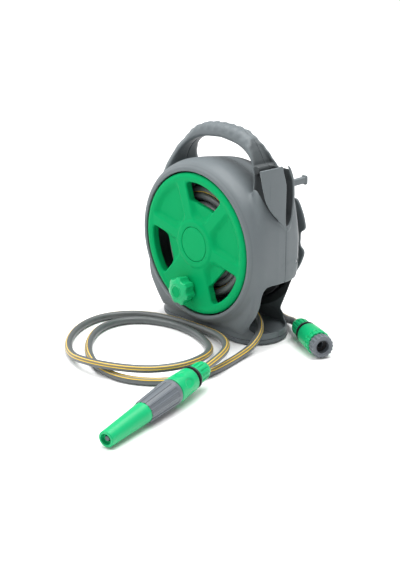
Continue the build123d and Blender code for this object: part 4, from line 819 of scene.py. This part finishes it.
def spline_points(name, route, resolution=6):
    """Points along a smooth spline that has the route, in mm, as its control points."""
    curve = bpy.data.curves.new(name, "CURVE")
    curve.dimensions = "3D"
    spline = curve.splines.new("NURBS")
    spline.points.add(len(route) - 1)
    for point, place in zip(spline.points, route):
        point.co = (*[c * MM for c in place], 1)
    spline.order_u = 3
    spline.use_endpoint_u = True
    spline.resolution_u = resolution
    holder = bpy.data.objects.new(name, curve)
    bpy.context.scene.collection.objects.link(holder)
    bpy.context.view_layer.update()
    line = bpy.data.meshes.new_from_object(holder)
    points = [tuple(v.co) for v in line.vertices]
    bpy.data.objects.remove(holder)
    bpy.data.meshes.remove(line)
    return points


def hose_mesh(name, points, diameter, stripe_at):
    """Tube along points. stripe_at gives, for a share of the length, where the stripes lie: degrees from the top."""
    p = np.array(points, float)
    ahead = np.gradient(p, axis=0)
    ahead /= np.linalg.norm(ahead, axis=1)[:, None]
    run = np.r_[0, np.cumsum(np.linalg.norm(np.diff(p, axis=0), axis=1))]
    side = np.cross(ahead[0], (0, 0, 1.0))
    if np.linalg.norm(side) < 1e-3:
        side = np.array((0, 1.0, 0))
    vertices, lay = [], []
    angles = 2 * math.pi * np.arange(SIDES) / SIDES
    for i, (centre, way) in enumerate(zip(p, ahead)):
        level = np.cross(way, (0, 0, 1.0))
        strength = np.linalg.norm(level)
        carried = side - way * (side @ way)
        carried /= np.linalg.norm(carried)
        if strength > 1e-6:
            level = level / strength
            if level @ carried < 0:
                level = -level
        side = carried * 0.85 + level * 0.15 if strength > 0.3 else carried
        side -= way * (side @ way)
        side /= np.linalg.norm(side)
        top = np.cross(side, way)
        offset = math.radians(stripe_at(run[i] / run[-1]))
        for a in angles:
            vertices.append(centre + diameter / 2 * (math.cos(a) * top + math.sin(a) * side))
            lay += [math.cos(a - offset), math.sin(a - offset), run[i]]
    rings = len(p)
    faces = []
    for i in range(rings - 1):
        for k in range(SIDES):
            n = (k + 1) % SIDES
            faces.append((i * SIDES + k, i * SIDES + n, (i + 1) * SIDES + n, (i + 1) * SIDES + k))
    faces.append(tuple(range(SIDES))[::-1])
    faces.append(tuple((rings - 1) * SIDES + k for k in range(SIDES)))
    mesh = bpy.data.meshes.new(name)
    mesh.from_pydata([tuple(v) for v in vertices], [], faces)
    attribute = mesh.attributes.new("lay", "FLOAT_VECTOR", "POINT")
    attribute.data.foreach_set("vector", np.array(lay, np.float32))
    mesh.shade_smooth()
    return mesh


TAP_AT = Vector((115.7, 37.8, 18.0))
TAP_DIR = Vector((0.913, -0.408, 0)).normalized()
NOZZLE_AT = Vector((151.0, -182.0, 26.0))
NOZZLE_DIR = Vector((51.4, -208.0, -13.5)).normalized()

DELIVERY_ROUTE = [
    (-6, -14, 45), (28, -11, 44.5), (58, -8, 41), (85, -12, 33), (105, -30, 21), (114, -57, 10),
    (119, -86, 5.6), (126, -117, 5.5), (132, -150, 5.6), (127, -190, 5.5), (105, -228, 5.5), (66, -253, 5.5),
    (20, -254, 5.5), (-26, -236, 5.5), (-66, -205, 5.5), (-95, -165, 5.5), (-99, -124, 5.5), (-77, -90, 5.5),
    (-34, -71, 5.5), (10, -71, 5.5), (50, -84, 6.5), (84, -106, 10.5), (107, -142, 16.5), (111, -186, 18.5),
    (92, -225, 18.5), (54, -253, 18.5), (8, -266, 16), (-40, -257, 7.5), (-84, -229, 5.5), (-118, -186, 5.5),
    (-131, -136, 5.5), (-112, -92, 5.5), (-74, -66, 5.5), (-30, -57, 5.8), (12, -58, 8.5), (48, -65, 13),
    (79, -78, 18), (106, -97, 22), (128, -122, 26),
    tuple(NOZZLE_AT - 24 * NOZZLE_DIR), tuple(NOZZLE_AT + 16 * NOZZLE_DIR),
]
LEADER_OUT = [
    (-35, 67.5, 47), (-9, 70.5, 24), (17, 74, 10), (46, 70, 5.6), (76, 58, 9.5),
    tuple(TAP_AT - 18 * TAP_DIR), tuple(TAP_AT + 14 * TAP_DIR),
]


def leader_route():
    """From the inlet round inside the back drum, out through its notch, wound round it, then to the tap."""
    inner = 62.3 + 5.5
    bend = 52.0
    start = inner - 2 * bend
    route = [(start, COIL_Y, AXIS_Z + 14)]
    steps = 8
    for k in range(steps):
        a = math.pi + (k + 0.5) * math.pi / steps
        reach = bend / math.cos(math.pi / 2 / steps)
        route.append((start + bend + reach * math.cos(a), COIL_Y, AXIS_Z + reach * math.sin(a)))
    outer = COIL_HIGH[0] - 5.5
    turns = 585
    count = 26
    for k in range(1, count + 1):
        a = math.radians(turns * k / count)
        reach = inner + (outer - inner) * k / count
        route.append((reach * math.cos(a), COIL_Y, AXIS_Z + reach * math.sin(a)))
    return route + LEADER_OUT


def wound_route():
    """Three layers of turns across the drum core, each layer running back over the one below."""
    across, pitch = 6, 11.0
    first = PACK_LOW[1] + 5.5
    last = PACK_HIGH[1] - 5.5
    turns_in_layer = (last - first) / pitch
    route = []
    per_turn = 16
    turn = 0.0
    for layer in range(3):
        reach = 54.6 + 11.0 * layer
        count = int(turns_in_layer * per_turn)
        for k in range(count):
            share = k / count
            y = first + (last - first) * (share if layer % 2 == 0 else 1 - share)
            a = turn + 2 * math.pi * k / per_turn
            wander = 0.35 * math.sin(3.1 * a + layer)
            climb = np.clip((share - 0.93) / 0.07, 0, 1) * 8 if layer < 2 else 0
            route.append(((reach + wander + climb) * math.cos(a), y, AXIS_Z + (reach + wander + climb) * math.sin(a)))
        turn += 2 * math.pi * count / per_turn
    return route


# ------------------------------------------------------------------ hose fittings, turned about their own axis
def smooth_step(value):
    value = np.clip(value, 0, 1)
    return value * value * (3 - 2 * value)


def lathed(name, at, direction, outline, sides, relief=None):
    """Body turned about direction from an outline of (radius, station); relief cuts into its outside."""
    points = []
    for (r0, s0), (r1, s1) in zip(outline, outline[1:] + outline[:1]):
        steps = max(1, int(math.hypot(r1 - r0, s1 - s0) / 0.8))
        points += [(r0 + (r1 - r0) * k / steps, s0 + (s1 - s0) * k / steps) for k in range(steps)]
    radius, station = np.array(points).T
    angle = 2 * math.pi * np.arange(sides) / sides
    reach = np.repeat(radius[:, None], sides, 1)
    if relief:
        outside = smooth_step((radius - 12.5) / 0.5)[:, None]
        reach = reach - outside * relief(angle[None, :], station[:, None])
    side = Vector((0, 0, 1)).cross(direction).normalized()
    up = direction.cross(side)
    places = (np.array(at) + station[:, None, None] * np.array(direction)
              + (reach * np.cos(angle))[..., None] * np.array(side)
              + (reach * np.sin(angle))[..., None] * np.array(up))
    count = len(points)
    faces = []
    for i in range(count):
        n = (i + 1) % count
        for k in range(sides):
            m = (k + 1) % sides
            faces.append((i * sides + k, i * sides + m, n * sides + m, n * sides + k))
    mesh = bpy.data.meshes.new(name)
    mesh.from_pydata((places.reshape(-1, 3) * MM).tolist(), [], faces)
    work = bmesh.new()
    work.from_mesh(mesh)
    bmesh.ops.remove_doubles(work, verts=work.verts, dist=1e-6)
    bmesh.ops.recalc_face_normals(work, faces=work.faces)
    work.to_mesh(mesh)
    work.free()
    mesh.shade_smooth()
    mesh.set_sharp_from_angle(angle=math.radians(38))
    return mesh


def grooves(count, depth, start, end, share, edge=0.18):
    """Lengthwise grooves: count round the body, each taking up share of its pitch."""
    def relief(angle, station):
        place = np.abs((angle * count / (2 * math.pi)) % 1 - 0.5) * 2
        across = smooth_step((share - place) / edge + 0.5)
        return depth * across * smooth_step((station - start) / 2.5) * smooth_step((end - station) / 2.5)
    return relief


def dimples(count, depth, middle, half_round, half_along):
    """Oval finger dimples: half_round is in radians, half_along in mm."""
    def relief(angle, station):
        place = ((angle * count / (2 * math.pi)) % 1 - 0.5) * 2 * math.pi / count
        away = np.hypot(place / half_round, (station - middle) / half_along)
        return depth * smooth_step((1.15 - away) / 0.55)
    return relief


# stations along a connector, from the hose end of its nut
NUT_END, COLLAR_AT, COLLAR_END, MATE_AT = 26.0, 34.4, 73.5, 74.3
COLLAR_BACK_R, COLLAR_R, BODY_R, SOCKET_R = 16.4, 17.8, 14.0, 8.9
SPIGOT = [(SOCKET_R - 1.6, 56), (SOCKET_R - 1.6, 62.5), (SOCKET_R, 62.5), (SOCKET_R, MATE_AT)]
NUT_OUTLINE = [(5.8, 0), (10.6, 0), (12.0, 3), (13.4, 8), (13.6, NUT_END - 1.2), (12.8, NUT_END), (10.6, NUT_END),
               (10.6, 9), (5.8, 5)]
COLLAR_OUTLINE = smooth_line([(BODY_R + 0.2, COLLAR_AT), (COLLAR_BACK_R - 1.2, COLLAR_AT)], 1) + [
    (COLLAR_BACK_R - 0.3, COLLAR_AT + 0.4), (COLLAR_BACK_R, COLLAR_AT + 1.5), (17.0, 48), (17.6, 60),
    (COLLAR_R, 68), (COLLAR_R, COLLAR_END - 1.2), (COLLAR_R - 0.3, COLLAR_END - 0.4), (COLLAR_R - 1, COLLAR_END),
    (BODY_R + 0.2, COLLAR_END)]
SLEEVE_OUTLINE = [(4.0, 56)] + SPIGOT + [
    (COLLAR_R - 1.2, MATE_AT), (COLLAR_R - 0.3, MATE_AT + 0.5), (COLLAR_R, MATE_AT + 1.5), (COLLAR_R, 86),
    (17.2, 100), (16.4, 118), (15.7, 134), (15.4, 136.2), (15.0, 137), (14.5, 137), (14.2, 136.4), (14.2, 122),
    (9.0, 122), (9.0, 151), (4.0, 151)]
ADAPTOR_OUTLINE = [(4.5, 56)] + SPIGOT + [
    (15.2, MATE_AT), (16.1, MATE_AT + 0.4), (16.4, MATE_AT + 1.2), (16.4, 85.8), (16.0, 86.9), (15.2, 87.3),
    (11.4, 87.3), (10.9, 86.6), (10.4, 86.6), (9.8, 87.1), (9.32, 86.6), (9.32, 76.3), (4.5, 76.3)]


def dress(at, direction, rows):
    """Adds a turned piece for each row: name, body, finish, slot, node it stands for, outline, sides, relief."""
    return [add_piece(name, lathed(name, at, direction, outline, sides, relief), body, finish(kind), slot, node)
            for name, body, kind, slot, node, outline, sides, relief in rows]


def nozzle_pieces():
    """Nut and collar of the hose connector, then the grip sleeve of the spray nozzle."""
    return dress(NOZZLE_AT, NOZZLE_DIR, (
        ("nozzle_nut_grip", "root", "green fitting", "fitting_green", "nozzle_hose_nut", NUT_OUTLINE, 168,
         grooves(14, 1.1, 5, 23, 0.42)),
        ("nozzle_collar_grip", "nozzle_collar", "green fitting", "fitting_green", "nozzle_release_collar",
         COLLAR_OUTLINE, 144, dimples(6, 1.5, 55, 0.36, 8.5)),
        ("nozzle_sleeve_grip", "nozzle", "grey fitting", "fitting_grey", "nozzle_sleeve", SLEEVE_OUTLINE, 196,
         grooves(14, 1.0, 80, 141, 0.6, 0.1))))


def tap_pieces():
    """Nut and collar of the hose connector at the tap end, and the tap adaptor."""
    cells = grooves(16, 2.4, 63.4, 68.6, 0.62, 0.12)
    teeth = grooves(16, 0.9, 67.5, 78, 0.45, 0.15)
    return dress(TAP_AT, TAP_DIR, (
        ("tap_nut_grip", "root", "green fitting", "fitting_green", "tap_hose_nut", NUT_OUTLINE, 168,
         grooves(14, 1.1, 5, 23, 0.42)),
        ("tap_collar_grip", "tap_collar", "green fitting", "fitting_green", "tap_release_collar", COLLAR_OUTLINE,
         192, lambda angle, station: np.maximum(cells(angle, station), teeth(angle, station))),
        ("tap_adaptor_grip", "tap_adaptor", "grey fitting", "fitting_grey", "tap_adaptor", ADAPTOR_OUTLINE, 180,
         grooves(18, 1.3, 70, 92, 0.5, 0.9))))


class HOSEREEL_OT_hoses(bpy.types.Operator):
    """Lay the delivery hose and the leader hose, and wind the rest on the drum"""
    bl_idname = "hosereel.hoses"
    bl_label = "Hoses"

    def execute(self, context):
        diameter = context.scene.reel_hose.diameter
        pvc = hose_pvc()
        points = spline_points("delivery_route", DELIVERY_ROUTE)
        mesh = hose_mesh("delivery_hose_run", points, diameter, lambda share: -48 + 16 * math.sin(9 * share))
        delivery = add_piece("delivery_hose_run", mesh, "root", pvc, "hose", "delivery_hose")
        on_it = [NODES[n] for n in NOZZLE_KEPT] + nozzle_pieces()
        points = spline_points("leader_route", leader_route())
        mesh = hose_mesh("leader_hose_run", points, diameter, lambda share: -40 + 120 * (1 - share))
        leader = add_piece("leader_hose_run", mesh, "root", pvc, "hose", "leader_start", "leader_coil", "leader_hose")
        on_it = [NODES[n] for n in TAP_KEPT] + tap_pieces()
        points = spline_points("wound_route", wound_route(), 3)
        mesh = hose_mesh("wound_hose", points, diameter * 0.995, lambda share: 180 + 70 * math.sin(20 * share))
        add_piece("wound_hose", mesh, "reel", pvc, "hose", "hose_pack")
        return {"FINISHED"}


NOZZLE_KEPT = ("nozzle_connector_body", "nozzle_collet", "nozzle_mate_seal", "nozzle_pin", "spray_barrel",
               "spray_seal")
TAP_KEPT = ("tap_connector_body", "tap_collet", "tap_mate_seal", "tap_washer")


# ------------------------------------------------------------------ parts whose CAD shape is kept
def soften(node, width=0.5):
    """Small bevels on the sharp edges of a CAD node, so that they catch the light."""
    piece = NODES[node]
    bevel = piece.modifiers.new("edge_softening", "BEVEL")
    bevel.width = width * MM
    bevel.segments = 2
    bevel.limit_method = "ANGLE"
    bevel.angle_limit = math.radians(40)
    piece.data.shade_smooth()
    piece.modifiers.new("weighted_normals", "WEIGHTED_NORMAL").keep_sharp = True


KEPT = (
    ("green disc", "green", 0.4, ("hub_cap", "knob_cap")),
    ("black core", "core", 0.4, ("drum_core", "rear_flange")),
    ("black core", "axle_plastic", 0.4, ("inlet_elbow",)),
    ("seal rubber", "foot_rubber", 0.3, ("rubber_feet",)),
    ("seal rubber", "seal_rubber", 0.0, ("axle_seal", "nozzle_mate_seal", "tap_mate_seal", "spray_seal",
                                         "tap_washer")),
    ("acetal", "axle_plastic", 0.2, ("axle", "axle_bush")),
    ("zinc", "screw_steel", 0.1, ("base_screws", "drum_screws", "guard_screws")),
    ("zinc", "spring_steel", 0.1, ("axle_clip",)),
    ("zinc", "knob_steel", 0.1, ("knob_pin",)),
    ("green fitting", "fitting_green", 0.5, ("spray_barrel",)),
    # painted shade: the connector bodies take the near-black finish, so that the gap between nut and collar looks
    # shaded
    ("black core", "fitting_grey", 0.4, ("nozzle_connector_body", "tap_connector_body")),
    ("grey fitting", "fitting_grey", 0.3, ("nozzle_pin", "nozzle_collet", "tap_collet")),
)


class HOSEREEL_OT_finishes(bpy.types.Operator):
    """Give the kept parts their plastics, rubber and steel"""
    bl_idname = "hosereel.finishes"
    bl_label = "Kept Parts"

    def execute(self, context):
        for kind, slot, width, nodes in KEPT:
            for node in nodes:
                piece = NODES[node]
                piece.data.materials.clear()
                piece.data.materials.append(finish(kind))
                if width:
                    soften(node, width)
        return {"FINISHED"}


# ------------------------------------------------------------------ stage
CAMERA_TURN = 47.284
CAMERA_PITCH = 20.031
CAMERA_FAR = 1.87714
CAMERA_SIDE = 0.00778     # of the aim point from the disc centre, sideways in view
CAMERA_DROP = 0.06195     # of the aim point below the axis


# name, place and width in metres, and power in watts
SOFTBOXES = (
    ("key", (-0.7, -1.3, 1.7), 1.4, 27),
    ("top", (0.1, 0.3, 2.0), 1.8, 66),
    ("left", (-1.9, -0.2, 0.9), 1.2, 8),
)


class HOSEREEL_OT_stage(bpy.types.Operator):
    """Set the floor, the softboxes and the camera"""
    bl_idname = "hosereel.stage"
    bl_label = "Stage"

    def execute(self, context):
        scene = context.scene
        settings = scene.reel_stage
        mesh = bpy.data.meshes.new("floor")
        reach = 6.0
        mesh.from_pydata([(-reach, -reach, 0), (reach, -reach, 0), (reach, reach, 0), (-reach, reach, 0)], [],
                         [(0, 1, 2, 3)])
        floor = bpy.data.objects.new("floor", mesh)
        scene.collection.objects.link(floor)
        paper, tree, shader = new_material("paper_sweep_white")
        # painted light: the sweep glows brighter away from the product, in place of lamps that would light it there
        place = add_node(tree, "ShaderNodeTexCoord").outputs["Object"]
        away = add_node(tree, "ShaderNodeVectorMath", {"operation": "LENGTH"}, {0: place})
        glow = add_node(tree, "ShaderNodeMapRange", {"interpolation_type": "SMOOTHSTEP"}, {
            "Value": away.outputs["Value"], "From Min": 0.5, "From Max": 2.0, "To Min": 0.0, "To Max": 0.6})
        set_inputs(tree, shader, {
            "Base Color": (*linear("#FBFBFB"), 1), "Roughness": 0.75, "Specular IOR Level": 0.2,
            "Emission Color": (1, 1, 1, 1), "Emission Strength": glow})
        floor.data.materials.append(paper)

        world = bpy.data.worlds.new("studio")
        world.use_nodes = True
        world.node_tree.nodes["Background"].inputs["Color"].default_value = (1, 1, 1, 1)
        world.node_tree.nodes["Background"].inputs["Strength"].default_value = 0.42
        scene.world = world
        for name, place, size, power in SOFTBOXES:
            self.softbox(scene, name, place, size, power * settings.light)

        turn, pitch = math.radians(CAMERA_TURN), math.radians(CAMERA_PITCH)
        aim = Vector((CAMERA_SIDE * math.cos(turn), CAMERA_SIDE * math.sin(turn) + FACE_Y * MM,
                      AXIS_Z * MM - CAMERA_DROP))
        back = Vector((math.sin(turn) * math.cos(pitch), -math.cos(turn) * math.cos(pitch), math.sin(pitch)))
        camera = bpy.data.objects.new("camera", bpy.data.cameras.new("camera"))
        scene.collection.objects.link(camera)
        camera.data.lens = settings.lens
        camera.location = aim + back * CAMERA_FAR
        camera.rotation_mode = "QUATERNION"
        camera.rotation_quaternion = (-back).to_track_quat("-Z", "Y")
        scene.camera = camera
        scene.view_settings.view_transform = "Standard"
        return {"FINISHED"}

    def softbox(self, scene, name, place, size, power):
        light = bpy.data.lights.new(name, "AREA")
        light.shape = "SQUARE"
        light.size = size
        light.energy = power
        lamp = bpy.data.objects.new(name, light)
        scene.collection.objects.link(lamp)
        lamp.location = place
        lamp.rotation_mode = "QUATERNION"
        lamp.rotation_quaternion = (Vector((0, 0, 0.12)) - Vector(place)).to_track_quat("-Z", "Y")


# ------------------------------------------------------------------ add-on
OPERATORS = (HOSEREEL_OT_housing, HOSEREEL_OT_disc, HOSEREEL_OT_hoses, HOSEREEL_OT_finishes, HOSEREEL_OT_stage)
GROUPS = (("reel_housing", HousingSettings), ("reel_disc", DiscSettings), ("reel_hose", HoseSettings),
          ("reel_stage", StageSettings))


class HOSEREEL_PT_sidebar(bpy.types.Panel):
    """The pieces of the hose reel, in the order they are made"""
    bl_idname = "HOSEREEL_PT_sidebar"
    bl_label = "Hose Reel"
    bl_space_type = "VIEW_3D"
    bl_region_type = "UI"
    bl_category = "Hose Reel"

    def draw(self, context):
        for attribute, group in GROUPS:
            section = self.layout.box()
            section.label(text=group.__name__)
            for name in group.__annotations__:
                section.prop(getattr(context.scene, attribute), name)
        for operator in OPERATORS:
            self.layout.operator(operator.bl_idname)


def register():
    for attribute, group in GROUPS:
        bpy.utils.register_class(group)
        setattr(bpy.types.Scene, attribute, bpy.props.PointerProperty(type=group))
    for kind in (*OPERATORS, HOSEREEL_PT_sidebar):
        bpy.utils.register_class(kind)


def unregister():
    for kind in reversed((*OPERATORS, HOSEREEL_PT_sidebar)):
        bpy.utils.unregister_class(kind)
    for attribute, group in reversed(GROUPS):
        delattr(bpy.types.Scene, attribute)
        bpy.utils.unregister_class(group)


def main():
    register()
    bpy.ops.hosereel.housing()
    bpy.ops.hosereel.disc()
    bpy.ops.hosereel.hoses()
    bpy.ops.hosereel.finishes()
    bpy.ops.hosereel.stage()


if __name__ == "__main__":
    main()
